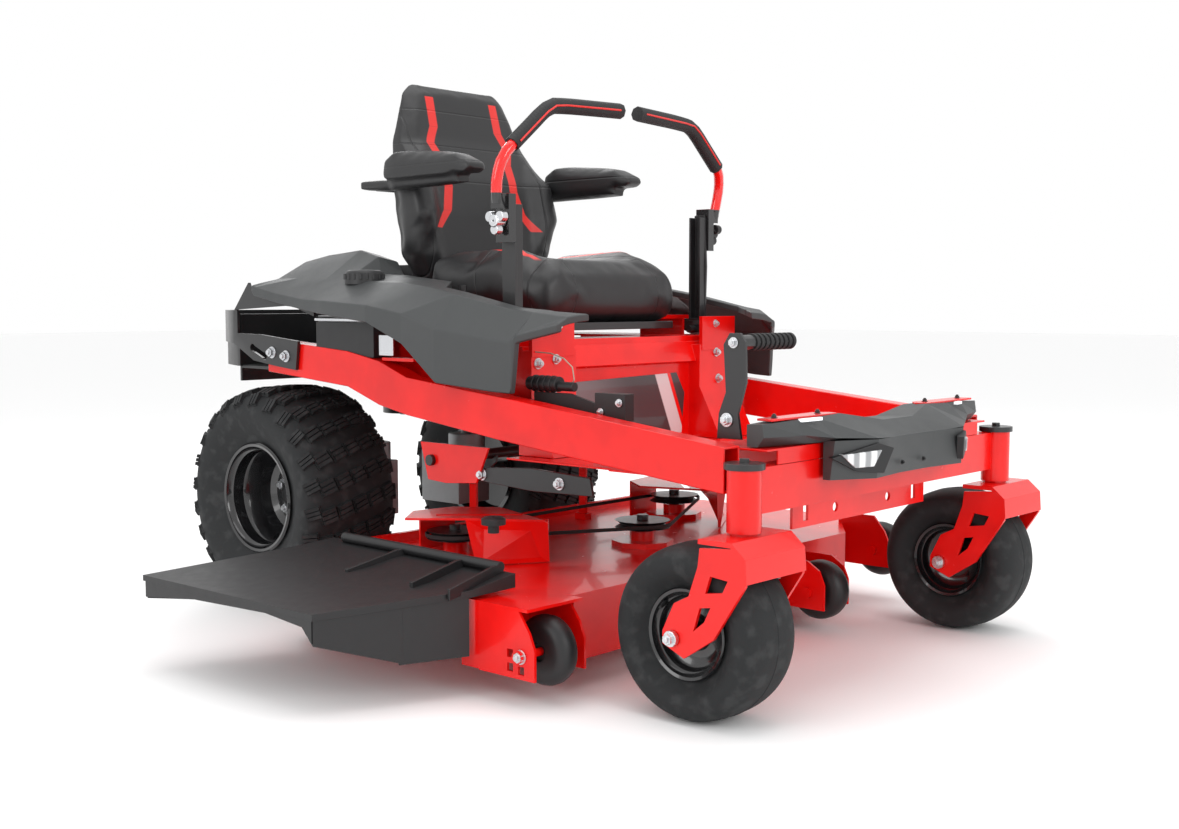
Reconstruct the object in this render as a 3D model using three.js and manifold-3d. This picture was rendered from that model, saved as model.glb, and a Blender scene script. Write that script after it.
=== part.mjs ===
// A zero-turn riding mower: welded frame on two swivelling casters and two driven rear wheels,
// a rear engine, a tilting seat, two lap bars and a floating side-discharge deck.
// Millimetres. X points to the operator's left, Y to the rear and Z up. While it is built, Y = 0 is
// the line through the two caster kingpins and X = 0 is the middle of the frame.

import * as THREE from "three";
import { mergeVertices } from "three/addons/utils/BufferGeometryUtils.js";
import Module from "manifold-3d";

const wasm = await Module();
wasm.setup();

// ---------------------------------------------------------------- driving dimensions
const SIDES = { right: -1, left: 1 };
const KINGPIN_X = 501; // half the distance between the caster kingpins
const CASTER_TRAIL = 87;
const CASTER_R = 165; // 13 inch tyre
const AXLE_Y = 1497; // rear axle behind the kingpins
const REAR_R = 279; // 22 inch tyre
const REAR_X = 385;
const RAIL_W = 50;
const DECK_HALF = 700; // half width of the deck shell, for a 52 inch cut
const DECK_FRONT = 380;
const DECK_REAR = 1143;
const DECK_LOW = 60;
const DECK_TOP = 194;
const SHEET = 6; // deck sheet
const PLATE = 8; // frame plate
const GAP = 0.4; // between pieces that touch
const SPINDLE_X = 400;
const SPINDLE_Y = { right: 870, center: 650, left: 870 };
const BLADE_R = 225;
const LAP_Y = 747;
const ROUND = 24; // sides of a large round part
const SMALL = 12; // sides of a small round part

// ---------------------------------------------------------------- materials
const material = (color, roughness, metalness = 0) =>
  new THREE.MeshStandardMaterial({ color, roughness, metalness });
const RED = material(0xc8120e, 0.3, 0.1);
const BLACK_STEEL = material(0x141414, 0.4, 0.4);
const PLASTIC = material(0x26282a, 0.6);
const RUBBER = material(0x1d1f20, 0.85);
const VINYL = material(0x202224, 0.5);
const ZINC = material(0xb9bcc0, 0.35, 0.9);
const CAST = material(0x6f7376, 0.5, 0.7);

// ---------------------------------------------------------------- solids
// A closed geometry as a manifold solid.
function solid(geometry) {
  const bare = geometry.index ? geometry.toNonIndexed() : geometry.clone();
  for (const name of Object.keys(bare.attributes)) {
    if (name !== "position") bare.deleteAttribute(name);
  }
  const merged = mergeVertices(bare, 1e-3);
  return new wasm.Manifold(
    new wasm.Mesh({
      numProp: 3,
      vertProperties: merged.attributes.position.array,
      triVerts: new Uint32Array(merged.index.array),
    }),
  );
}

// The same, for a geometry whose faces may all point inwards.
function outward(geometry) {
  const made = solid(geometry);
  return made.volume() < 0 ? solid(reversed(geometry)) : made;
}

const join = (...solids) => solids.reduce((sum, next) => sum.add(next));
const cut = (body, ...tools) =>
  tools.reduce((rest, tool) => rest.subtract(tool), body);

function block(x0, x1, y0, y1, z0, z1) {
  const box = new THREE.BoxGeometry(x1 - x0, y1 - y0, z1 - z0);
  box.translate((x0 + x1) / 2, (y0 + y1) / 2, (z0 + z1) / 2);
  return solid(box);
}

// A round bar between two points.
function rod(from, to, radius, sides = SMALL, endRadius = radius) {
  const a = new THREE.Vector3(...from);
  const b = new THREE.Vector3(...to);
  const length = a.distanceTo(b);
  const bar = new THREE.CylinderGeometry(endRadius, radius, length, sides);
  bar.translate(0, length / 2, 0);
  const along = b.clone().sub(a).normalize();
  bar.applyQuaternion(
    new THREE.Quaternion().setFromUnitVectors(
      new THREE.Vector3(0, 1, 0),
      along,
    ),
  );
  bar.translate(a.x, a.y, a.z);
  return solid(bar);
}

const outline = (points) =>
  new THREE.Shape(points.map(([u, v]) => new THREE.Vector2(u, v)));

// A plate with an outline in the YZ plane, from x0 to x1.
function sidePlate(points, x0, x1) {
  const plate = new THREE.ExtrudeGeometry(outline(points), {
    depth: x1 - x0,
    bevelEnabled: false,
  });
  plate.applyMatrix4(
    new THREE.Matrix4().makeBasis(
      new THREE.Vector3(0, 1, 0),
      new THREE.Vector3(0, 0, 1),
      new THREE.Vector3(1, 0, 0),
    ),
  );
  plate.translate(x0, 0, 0);
  return solid(plate);
}

// A plate with an outline in the XY plane, from z0 to z1.
function floorPlate(points, z0, z1) {
  const plate = new THREE.ExtrudeGeometry(outline(points), {
    depth: z1 - z0,
    bevelEnabled: false,
  });
  plate.translate(0, 0, z0);
  return solid(plate);
}

// A solid of revolution about the X axis. The profile is [offset along the axis, radius] and closes.
function wheelShape(profile, centre, sides = ROUND) {
  const closed = [...profile, profile[0]];
  const lathe = new THREE.LatheGeometry(
    closed.map(([along, radius]) => new THREE.Vector2(radius, along)),
    sides,
  );
  lathe.rotateZ(-Math.PI / 2);
  lathe.translate(...centre);
  return outward(lathe);
}

function reversed(geometry) {
  const flat = geometry.index ? geometry.toNonIndexed() : geometry.clone();
  const p = flat.attributes.position;
  for (let i = 0; i < p.count; i += 3) {
    const b = new THREE.Vector3().fromBufferAttribute(p, i + 1);
    const c = new THREE.Vector3().fromBufferAttribute(p, i + 2);
    p.setXYZ(i + 1, c.x, c.y, c.z);
    p.setXYZ(i + 2, b.x, b.y, b.z);
  }
  return flat;
}

// A closed skin through equal rings of points, with flat ends.
function loft(rings) {
  const count = rings[0].length;
  const points = rings.flat();
  const faces = [];
  for (let r = 0; r + 1 < rings.length; r += 1) {
    for (let i = 0; i < count; i += 1) {
      const a = r * count + i;
      const b = r * count + ((i + 1) % count);
      faces.push(a, b, b + count, a, b + count, a + count);
    }
  }
  const flatten = (ring) => {
    const spread = [0, 1, 2].map(
      (k) =>
        Math.max(...ring.map((p) => p[k])) - Math.min(...ring.map((p) => p[k])),
    );
    const drop = spread.indexOf(Math.min(...spread));
    return ring.map(
      (p) => new THREE.Vector2(...p.filter((_, k) => k !== drop)),
    );
  };
  const capAt = (ringIndex, turn) => {
    const flat = flatten(rings[ringIndex]);
    const clockwise = THREE.ShapeUtils.isClockWise(flat);
    const order = flat.map((_, i) => i);
    if (clockwise) order.reverse();
    const base = ringIndex * count;
    const triangles = THREE.ShapeUtils.triangulateShape(
      order.map((i) => flat[i]),
      [],
    );
    for (const [a, b, c] of triangles) {
      const corner = [order[a], order[b], order[c]].map((i) => base + i);
      if (clockwise === turn) corner.reverse();
      faces.push(...corner);
    }
  };
  capAt(0, false);
  capAt(rings.length - 1, true);
  const geometry = new THREE.BufferGeometry();
  geometry.setAttribute(
    "position",
    new THREE.Float32BufferAttribute(points.flat(), 3),
  );
  geometry.setIndex(faces);
  return outward(geometry);
}

const mirror = (points, side) => points.map(([x, ...rest]) => [x * side, ...rest]);

// A round bar along a bent path, with straight ends.
function bentBar(points, radius, steps, sides = 8) {
  const path = new THREE.CatmullRomCurve3(
    points.map((p) => new THREE.Vector3(...p)),
    false,
    "centripetal",
  );
  const section = new THREE.Shape();
  section.absarc(0, 0, radius, 0, Math.PI * 2, false);
  const ring = new THREE.Shape(section.getPoints(sides / 2).slice(0, -1));
  return solid(
    new THREE.ExtrudeGeometry(ring, {
      steps,
      extrudePath: path,
      bevelEnabled: false,
    }),
  );
}

const mower = new THREE.Group();

function add(name, made, finish) {
  const data = made.getMesh();
  const positions = new Float32Array(data.numVert * 3);
  for (let i = 0; i < data.numVert; i += 1) {
    for (let k = 0; k < 3; k += 1) {
      positions[i * 3 + k] = data.vertProperties[i * data.numProp + k];
    }
  }
  const geometry = new THREE.BufferGeometry();
  geometry.setAttribute("position", new THREE.BufferAttribute(positions, 3));
  geometry.setIndex(new THREE.BufferAttribute(data.triVerts, 1));
  const flat = geometry.toNonIndexed();
  flat.computeVertexNormals();
  const mesh = new THREE.Mesh(flat, finish);
  mesh.name = name;
  mower.add(mesh);
}

// ---------------------------------------------------------------- frame
const BEAM_Z0 = 384;
const BEAM_Z1 = 469;
const BEAM_BACK = 46;
// Each rail station: distance behind the kingpins, offset of the rail's middle, lower and upper edge.
const RAIL_STATIONS = [
  [BEAM_BACK, 476, 420, 506],
  [650, 452, 478, 570],
  [960, 440, 514, 600],
  [1060, 437, 532, 634],
  [1180, 433, 570, 654],
  [1500, 428, 595, 677],
];
const RAIL_WALL = 5;

// The rail rises to the rear, with a dog-leg that lifts it over the drive tyres.
function frameRail(side) {
  const ring = ([y, x, low, high], inset, reach) => {
    const half = RAIL_W / 2 - inset;
    return [
      [side * x - half, y + reach, low + inset],
      [side * x + half, y + reach, low + inset],
      [side * x + half, y + reach, high - inset],
      [side * x - half, y + reach, high - inset],
    ];
  };
  const last = RAIL_STATIONS.length - 1;
  const ends = (i) => (i === 0 ? -1 : 0) + (i === last ? 1 : 0);
  const outside = RAIL_STATIONS.map((station) => ring(station, 0, 0));
  const inside = RAIL_STATIONS.map((station, i) => ring(station, RAIL_WALL, ends(i)));
  return cut(loft(outside), loft(inside));
}

const TUBE_R = 32;
const TUBE_BORE_R = 20;
const TUBE_Z0 = 356;
const TUBE_Z1 = 470;

// The beam between the casters, with a kingpin tube welded to each end.
function frontAxleBeam() {
  const beam = cut(
    block(-482, 482, -4, BEAM_BACK - GAP, BEAM_Z0, BEAM_Z1),
    block(-440, 440, 2, BEAM_BACK + 1, BEAM_Z0 + 6, BEAM_Z1 - 6),
  );
  const tubes = Object.values(SIDES).map((side) =>
    rod(
      [side * KINGPIN_X, 0, TUBE_Z0],
      [side * KINGPIN_X, 0, TUBE_Z1],
      TUBE_R,
      ROUND,
    ),
  );
  const bores = Object.values(SIDES).map((side) =>
    rod(
      [side * KINGPIN_X, 0, TUBE_Z0 - 1],
      [side * KINGPIN_X, 0, TUBE_Z1 + 1],
      TUBE_BORE_R,
      ROUND,
    ),
  );
  return cut(join(beam, ...tubes), ...bores);
}

// The slotted plate under the beam that the deck's front hangers bolt to.
function frontHangerPlate() {
  const plate = join(
    block(-262, 262, 54, 60, 326, BEAM_Z0 + 6),
    block(-262, 262, 30, 60, BEAM_Z0 - 6, BEAM_Z0 + 1),
  );
  const slots = [-215, 215].map((x) => block(x - 9, x + 9, 50, 65, 338, 372));
  const holes = [-105, 105].map((x) => rod([x, 50, 354], [x, 65, 354], 10));
  return cut(plate, ...slots, ...holes);
}

const TREAD_Z = 496;
const FLOOR_Z = 430;

// Folded floor: a raised tread over the beam, a ramp and the flat pan for the operator's boots.
function footDeck() {
  const fold = 4;
  const profile = [
    [-4, TREAD_Z],
    [150, TREAD_Z],
    [200, FLOOR_Z],
    [684, FLOOR_Z],
    [684, FLOOR_Z + fold],
    [202, FLOOR_Z + fold],
    [152, TREAD_Z + fold],
    [-4, TREAD_Z + fold],
  ];
  const skirt = block(-400, 400, -4, 0, BEAM_Z1 + 1, TREAD_Z + 1);
  const wide = sidePlate(profile, -436, 436);
  return join(
    cut(wide, block(-460, -422, 380, 700, 420, 440), block(422, 460, 380, 700, 420, 440)),
    skirt,
  );
}

const TOWER_X = 372;
const TOWER_FRONT = 690;
const TOWER_REAR = 1180;
const TOWER_TOP = 686;

// The folded box under the seat: front panel with an overhanging lip, two cheeks and a seat shelf.
function seatTower() {
  const low = FLOOR_Z + 5;
  const shell = cut(
    block(-TOWER_X, TOWER_X, TOWER_FRONT, TOWER_REAR, low + 130, TOWER_TOP),
    block(
      -TOWER_X + 5,
      TOWER_X - 5,
      TOWER_FRONT + 5,
      TOWER_REAR + 1,
      low,
      TOWER_TOP - 5,
    ),
    block(-200, 200, 800, 1100, TOWER_TOP - 6, TOWER_TOP + 1),
  );
  const frontPanel = block(-TOWER_X, TOWER_X, TOWER_FRONT, TOWER_FRONT + 5, low, 600);
  const lip = sidePlate(
    [
      [TOWER_FRONT + 1, 672],
      [TOWER_FRONT - 6, 672],
      [TOWER_FRONT - 22, 624],
      [TOWER_FRONT + 1, 618],
    ],
    -TOWER_X,
    TOWER_X,
  );
  return join(shell, frontPanel, lip);
}

// Upright cheek in front of the tower that carries the console and the control shaft.
function consolePost(side) {
  const x0 = side < 0 ? -TOWER_X : 228;
  return sidePlate(
    [
      [TOWER_FRONT + 1, FLOOR_Z + 5],
      [TOWER_FRONT + 1, 664],
      [TOWER_FRONT - 34, 664],
      [TOWER_FRONT - 34, 560],
      [590, FLOOR_Z + 5],
    ],
    x0,
    x0 + 144,
  );
}

const ENGINE_PLATE_Z = 596;

// Cross plate that carries the engine, with an upright and a hanging lip at the back.
function enginePlate() {
  return cut(
    join(
      block(-399, 399, 1200, 1700, ENGINE_PLATE_Z, ENGINE_PLATE_Z + PLATE),
      block(-399, 399, 1692, 1700, 562, 738),
    ),
    block(-160, 160, 1190, 1290, ENGINE_PLATE_Z - 1, ENGINE_PLATE_Z + 20),
    rod([0, 1500, ENGINE_PLATE_Z - 1], [0, 1500, ENGINE_PLATE_Z + 20], 60),
  );
}

const GUARD_X = 457;

// A band of folded plate that wraps round the back, seen from above as an open bracket shape.
function guardBand(z0, z1, outside, inside) {
  const wrap = (points) => [...mirror(points, -1), ...points.reverse()];
  return floorPlate([...wrap(outside), ...wrap(inside).reverse()], z0, z1);
}

// Engine guard: two bands behind the engine and a forked plate bolted to each rail.
function rearBumper() {
  const plate = (x0) =>
    sidePlate(
      [
        [1295, 745],
        [1530, 784],
        [1552, 800],
        [1562, 818],
        [1626, 748],
        [1630, 664],
        [1544, 622],
        [1455, 611],
        [1370, 603],
        [1360, 674],
        [1513, 688],
        [1616, 690],
        [1616, 750],
        [1512, 755],
        [1410, 760],
        [1370, 757],
        [1295, 735],
      ],
      x0,
      x0 + PLATE,
    );
  const upper = guardBand(
    664,
    748,
    [
      [GUARD_X + PLATE, 1612],
      [GUARD_X + PLATE, 1630],
      [438, 1692],
      [370, 1806],
    ],
    [
      [GUARD_X, 1612],
      [GUARD_X, 1628],
      [430, 1688],
      [364, 1797],
    ],
  );
  const lower = guardBand(
    602,
    668,
    [
      [412, 1680],
      [412, 1692],
      [366, 1803],
    ],
    [
      [404, 1680],
      [404, 1690],
      [360, 1794],
    ],
  );
  return join(plate(-GUARD_X - PLATE), plate(GUARD_X), upper, lower);
}

// ---------------------------------------------------------------- casters and wheels
const AXLE_END = 96;

function casterFork(side) {
  const cheekOutline = [
    [29, 336],
    [-44, 342],
    [-66, 322],
    [-70, 278],
    [-3, 175],
    [63, 131],
    [112, 152],
    [112, 176],
    [86, 229],
    [53, 246],
    [33, 302],
  ];
  const windows = [
    [
      [5, 288],
      [-33, 284],
      [-22, 262],
      [16, 256],
    ],
    [
      [28, 228],
      [4, 232],
      [18, 204],
      [42, 184],
    ],
  ];
  const cheek = (x0) =>
    cut(
      sidePlate(cheekOutline, x0, x0 + PLATE),
      ...windows.map((w) => sidePlate(w, x0 - 1, x0 + PLATE + 1)),
      rod([x0 - 1, CASTER_TRAIL, CASTER_R], [x0 + PLATE + 1, CASTER_TRAIL, CASTER_R], 10.5),
    );
  const roof = sidePlate(
    [
      [33, 352],
      [-40, 352],
      [-70, 326],
      [-73, 282],
      [-65, 282],
      [-62, 322],
      [-38, 343],
      [33, 343],
    ],
    -94,
    94,
  );
  const kingpin = rod([0, 0, 345], [0, 0, 476], 17.5, SMALL);
  const fork = join(
    cheek(-94),
    cheek(86),
    roof,
    kingpin,
    rod([0, 0, 350], [0, 0, TUBE_Z0 - GAP], 26, SMALL),
  );
  return fork.translate([side * KINGPIN_X, 0, 0]);
}

// Dust cap pressed over the tube, held by the kingpin's bolt.
const kingpinCap = (side) =>
  cut(
    join(
      rod([0, 0, TUBE_Z1 + GAP], [0, 0, TUBE_Z1 + 12], 38, 20),
      rod([0, 0, TUBE_Z1 + 11], [0, 0, TUBE_Z1 + 20], 10, 6),
    ),
    rod([0, 0, TUBE_Z1 - 1], [0, 0, TUBE_Z1 + 7], 18.5),
  ).translate([side * KINGPIN_X, 0, 0]);

function axleBolt(x, y, z, half, radius, head) {
  return join(
    rod([x - half, y, z], [x + half, y, z], radius),
    rod([x - half - 9, y, z], [x - half, y, z], head),
    rod([x + half, y, z], [x + half + 9, y, z], head * 0.85, 6),
  );
}

const casterTyre = (side) =>
  wheelShape(
    [
      [-50, 84],
      [-68, 98],
      [-80, 125],
      [-72, 148],
      [-45, 162],
      [0, CASTER_R],
      [45, 162],
      [72, 148],
      [80, 125],
      [68, 98],
      [50, 84],
    ],
    [side * KINGPIN_X, CASTER_TRAIL, CASTER_R],
  );

const casterRim = (side) =>
  wheelShape(
    [
      [-57, 87.5],
      [-50, 83],
      [50, 83],
      [57, 87.5],
      [57, 78],
      [30, 70],
      [22, 34],
      [78, 30],
      [78, 11],
      [-78, 11],
      [-78, 30],
      [-22, 34],
      [-30, 70],
      [-57, 78],
    ],
    [side * KINGPIN_X, CASTER_TRAIL, CASTER_R],
  );

const rearTyre = (side) =>
  wheelShape(
    [
      [-104, 133],
      [-126, 165],
      [-140, 210],
      [-136, 242],
      [-118, 266],
      [-70, 277],
      [0, REAR_R],
      [70, 277],
      [118, 266],
      [136, 242],
      [140, 210],
      [126, 165],
      [104, 133],
    ],
    [side * REAR_X, AXLE_Y, REAR_R],
  );

// The rim's disc sits towards the machine, so its outer side is a deep dish.
const rearRim = (side) =>
  wheelShape(
    [
      [-112, 140],
      [-103, 132],
      [103, 132],
      [112, 140],
      [112, 128],
      [90, 122],
      [40, 112],
      [20, 60],
      [20, 26],
      [8, 26],
      [8, 66],
      [-90, 118],
      [-112, 128],
    ].map(([along, radius]) => [-side * along, radius]),
    [side * REAR_X, AXLE_Y, REAR_R],
  );

// Sealed pump-and-motor drive with the axle that carries the wheel.
function transaxle(side) {
  const housing = join(
    block(110, 228, 1405, 1560, 205, 350),
    rod([174, 1440, 340], [174, 1440, 400], 52, 20),
    rod([174, 1440, 400], [174, 1440, 425], 16),
    rod([220, AXLE_Y, REAR_R], [300, AXLE_Y, REAR_R], 42, 20, 30),
  );
  const made = join(
    housing,
    rod([290, AXLE_Y, REAR_R], [REAR_X + 8, AXLE_Y, REAR_R], 20),
  );
  return side > 0 ? made : made.mirror([1, 0, 0]);
}

// ---------------------------------------------------------------- engine
const ENGINE_Y = 1500;

function engineBlock() {
  const low = ENGINE_PLATE_Z + PLATE + GAP;
  const crankcase = block(-130, 130, 1380, 1620, low, low + 130);
  const cylinder = (side) =>
    loft(
      [
        [60, 1400, 1560],
        [215, 1420, 1540],
      ].map(([x, y0, y1]) => [
        [side * x, y0, low + 25],
        [side * x, y1, low + 25],
        [side * x, y1, low + 150],
        [side * x, y0, low + 150],
      ]),
    );
  return join(crankcase, cylinder(-1), cylinder(1));
}

const COVER_Z0 = ENGINE_PLATE_Z + PLATE + 153;

function engineCover() {
  const base = rod([0, ENGINE_Y, COVER_Z0], [0, ENGINE_Y, COVER_Z0 + 70], 185, ROUND, 165);
  const screen = rod([0, ENGINE_Y, COVER_Z0 + 68], [0, ENGINE_Y, COVER_Z0 + 88], 130, ROUND, 118);
  const filterBox = block(-95, 95, 1335, 1420, COVER_Z0 + 10, COVER_Z0 + 110);
  return join(base, screen, filterBox);
}

function muffler() {
  const can = rod([-170, 1746, 690], [170, 1746, 690], 40, 20);
  return join(can, rod([150, 1746, 690], [214, 1746, 664], 16));
}

// ---------------------------------------------------------------- moulded covers
// Each ring runs from the outer flap's lower edge over the crease and the hump's ridge to the inner
// edge, and back below.
function fender(side) {
  const skin = 16;
  const stations = [
    // y, flap x, flap low, shoulder z, crease x and z, ridge x and z, inner x and z, backward slant
    [1522, 484, 794, 812, 400, 826, 300, 838, 150, 848, 0.09],
    [1510, 485, 784, 806, 404, 828, 308, 874, 165, 872, 0.1],
    [1420, 488, 768, 790, 420, 828, 318, 888, 200, 880],
    [1289, 505, 751, 775, 428, 826, 322, 898, 262, 886],
    [1213, 515, 742, 772, 432, 822, 330, 880, 268, 868],
    [1190, 520, 740, 772, 434, 820, 340, 838, 268, 836],
    [1010, 540, 724, 762, 436, 814, 350, 820, 276, 818],
    [900, 532, 678, 744, 440, 802, 416, 804, 395, 803],
    [820, 506, 594, 712, 446, 788, 420, 790, 395, 790],
    [660, 487, 580, 690, 434, 756, 414, 758, 395, 758],
    [612, 481, 578, 686, 424, 750, 390, 752, 356, 752],
    [604, 476, 684, 700, 418, 748, 386, 750, 352, 750],
    [552, 402, 706, 722, 366, 738, 334, 742, 300, 744],
  ];
  const rings = stations.map(([y, fx, low, shoulder, cx, cz, rx, rz, ix, iz, slant = 0]) =>
    [
      [-fx, low],
      [-fx, shoulder],
      [-cx, cz],
      [-rx, rz],
      [-ix, iz],
      [-ix, iz - skin],
      [-rx + 3, rz - skin],
      [-cx + 4, cz - skin],
      [-fx + skin, shoulder - skin / 3],
      [-fx + skin, low],
    ].map(([x, z]) => [x, y + slant * (fx + x), z]),
  );
  const made = loft(rings);
  return side < 0 ? made : made.mirror([1, 0, 0]);
}

// Folded bracket in front of the lap bar, and the shelf behind it that carries the controls.
function consoleTop(side) {
  const between = (near, far, y0, y1, z0, z1) =>
    side < 0 ? block(-far, -near, y0, y1, z0, z1) : block(near, far, y0, y1, z0, z1);
  return join(
    between(236, TOWER_X, 654, 664, 650, 734),
    between(270, 390, 815, 960, 726, 736),
    between(362, 370, 815, 960, 680, 730),
  );
}

const BAR_LOW = TREAD_Z + 6;

// Light bar over the front beam: a body on the tread and a nose that hangs in front of the beam.
function headlightBar() {
  const stations = [
    // x, front edge of the foot, its height, brow y and z, top front y and z, top back y and z
    [424, 26, BAR_LOW, 12, 520, 16, 545, 50, 543],
    [330, 4, BAR_LOW, -14, 520, 4, 548, 58, 546],
    [262, -12, BAR_LOW, -44, 512, 2, 549, 60, 548],
    [174, -20, BAR_LOW, -84, 508, 4, 552, 60, 548],
    [60, -20, BAR_LOW, -74, 504, -26, 534, 60, 530],
  ];
  const ring = ([x, fy, fz, by, bz, cy, cz, dy, dz]) => [
    [x, fy, fz],
    [x, by, bz],
    [x, cy, cz],
    [x, dy, dz],
    [x, dy, BAR_LOW],
  ];
  const mirrored = stations.map(([x, ...rest]) => [-x, ...rest]).reverse();
  const body = loft([...stations, ...mirrored].map(ring));
  const nose = loft(
    [
      [262, -14, -30, -40],
      [174, -14, -80, -84],
      [60, -14, -66, -74],
    ]
      .flatMap((row) => [row, [-row[0], ...row.slice(1)]])
      .sort((p, q) => q[0] - p[0])
      .map(([x, back, low, high]) => [
        [x, back, 430],
        [x, low, 430],
        [x, high, 506],
        [x, back, 506],
      ]),
  );
  return join(body, nose);
}

// ---------------------------------------------------------------- seat
const BACK_LEAN = 0.134; // how far the backrest's rear face moves back for each millimetre up
const backFace = (z) => 1264 + (z - 869) * BACK_LEAN;
const ARM_PIVOT = [1308, 1056];

// Hinged seat pan, the upright behind the backrest and the pin that the armrests turn on.
function seatPan() {
  const pan = cut(
    block(-215, 215, 730, 1270, 704, 722),
    block(-190, 190, 760, 1180, 700, 716),
  );
  const spine = sidePlate(
    [
      [backFace(722) + 1, 712],
      [backFace(722) + 40, 704],
      [backFace(1180) + 12, 1140],
      [backFace(1180) + 12, 1180],
      [backFace(1180) + 1, 1180],
    ],
    -150,
    150,
  );
  const [pinY, pinZ] = ARM_PIVOT;
  return join(pan, spine, rod([-254, pinY, pinZ], [254, pinY, pinZ], 10));
}

function seatCushion() {
  const stations = [
    // x, front y, top z at front, mid top z, rear top z
    [-244, 730, 838, 880, 880],
    [-205, 712, 868, 905, 890],
    [-120, 706, 862, 868, 862],
    [120, 706, 862, 868, 862],
    [205, 712, 868, 905, 890],
    [244, 730, 838, 880, 880],
  ];
  return loft(
    stations.map(([x, front, z0, z1, z2]) => [
      [x, front + 20, 724],
      [x, front, 760],
      [x, front + 6, z0 - 24],
      [x, front + 50, z0],
      [x, 880, z1],
      [x, 1130, z2],
      [x, 1150, 800],
      [x, 1130, 724],
    ]),
  );
}

// Rings run from the backrest's foot to its top edge.
function seatBack() {
  const stations = [
    // z, front of the middle, front of the bolster, half width
    [800, 1166, 1160, 190],
    [880, 1168, 1150, 240],
    [990, 1180, 1132, 249],
    [1083, 1200, 1156, 249],
    [1182, 1244, 1240, 234],
    [1310, 1276, 1280, 190],
    [1338, 1286, 1288, 158],
  ];
  return loft(
    stations.map(([z, front, bolster, half]) => {
      const rear = backFace(z) - (z > 1300 ? 6 : 0);
      return [
        [-half, bolster + 14, z],
        [-half * 0.86, bolster, z],
        [-half * 0.62, front, z],
        [half * 0.62, front, z],
        [half * 0.86, bolster, z],
        [half, bolster + 14, z],
        [half, rear - 12, z],
        [half * 0.75, rear, z],
        [-half * 0.75, rear, z],
        [-half, rear - 12, z],
      ];
    }),
  );
}

function armrest(side) {
  const pad = loft(
    [
      [252, 6],
      [262, 0],
      [305, 0],
      [315, 6],
    ].map(([x, inset]) => [
      [side * x, 925 + inset, 1066],
      [side * x, 906 + inset, 1078],
      [side * x, 912 + inset, 1094],
      [side * x, 960, 1116 - inset],
      [side * x, 1180, 1134 - inset],
      [side * x, 1216 - inset, 1112],
      [side * x, 1222 - inset, 1078],
      [side * x, 1210, 1066],
    ]),
  );
  const bar = block(
    side < 0 ? -300 : 256,
    side < 0 ? -256 : 300,
    960,
    1322,
    1044,
    1067,
  );
  return join(pad, bar);
}

// ---------------------------------------------------------------- lap bars and controls
function controlHub(side) {
  return join(
    block(side < 0 ? -346 : 322, side < 0 ? -322 : 346, 728, 766, 692, 712),
    rod(
      [side * 300, LAP_Y, 700],
      [side * 366, LAP_Y, 700],
      9,
    ),
  );
}

const ARM_LOW = 722;

// Folded channel that stands on the hub.
function lapArm(side) {
  const across = (near, far) => (side < 0 ? [-far, -near] : [near, far]);
  const web = sidePlate(
    [
      [LAP_Y - 18, ARM_LOW],
      [LAP_Y + 18, ARM_LOW],
      [LAP_Y + 22, 860],
      [LAP_Y + 16, 990],
      [LAP_Y - 16, 990],
      [LAP_Y - 22, 860],
    ],
    ...across(343, 349),
  );
  const flange = (y) => block(...across(323, 349), y, y + 5, ARM_LOW, 984);
  const foot = block(...across(323, 349), LAP_Y - 18, LAP_Y + 18, ARM_LOW, ARM_LOW + 6);
  return join(web, flange(LAP_Y - 18), flange(LAP_Y + 13), foot);
}

// Middle line of the bent handle tube, on the operator's left.
const LAP_LINE = [
  [392, 739, 985],
  [397, 736, 1015],
  [398, 729, 1050],
  [390, 721, 1084],
  [372, 714, 1108],
  [310, 712, 1160],
  [276, 711, 1188],
  [250, 710, 1203],
  [215, 709, 1207],
  [40, 696, 1212],
];

// Clamp block on the outside of the arm, with the bent handle tube in it.
function lapTube(side) {
  const clamp = block(
    side < 0 ? -372 : 350,
    side < 0 ? -350 : 372,
    LAP_Y - 24,
    LAP_Y + 16,
    900,
    1006,
  );
  const tube = bentBar(mirror(LAP_LINE, side), 12.5, 22);
  const bridge = block(
    side < 0 ? -398 : 366,
    side < 0 ? -366 : 398,
    LAP_Y - 18,
    LAP_Y + 6,
    972,
    1000,
  );
  return join(clamp, tube, bridge);
}

// Moulded sleeve over the upper part of the tube, closed at its inner end.
function lapGrip(side) {
  const outside = mirror(LAP_LINE.slice(4), side);
  outside[0] = [side * 370, 714.2, 1110.2];
  outside.push([side * 31, 695.3, 1212.3]);
  return cut(bentBar(outside, 18, 14), bentBar(mirror(LAP_LINE, side), 13.6, 22));
}

function adjustKnob(side) {
  const lobe = (angle) =>
    rod(
      [side * 373, LAP_Y - 4 + 17 * Math.cos(angle), 950 + 17 * Math.sin(angle)],
      [side * 397, LAP_Y - 4 + 17 * Math.cos(angle), 950 + 17 * Math.sin(angle)],
      11,
      10,
    );
  const third = (2 * Math.PI) / 3;
  return join(
    rod([side * 372.4, LAP_Y - 4, 950], [side * 400, LAP_Y - 4, 950], 14),
    lobe(0.5),
    lobe(0.5 + third),
    lobe(0.5 + 2 * third),
  );
}

// Crank that lifts the deck, with a foot peg pointing inboard.
function liftPedal() {
  const lever = sidePlate(
    [
      [72, 512],
      [128, 512],
      [124, 560],
      [108, 600],
      [114, 690],
      [100, 712],
      [76, 712],
      [64, 696],
      [62, 620],
      [80, 560],
    ],
    -412,
    -405,
  );
  return join(lever, rod([-406, 88, 694], [-228, 88, 694], 14));
}

// ---------------------------------------------------------------- mower deck
const CHUTE_Y = [532, 1040]; // the side opening that the cuttings leave through
const BRACKET_LOW = 58;

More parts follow.
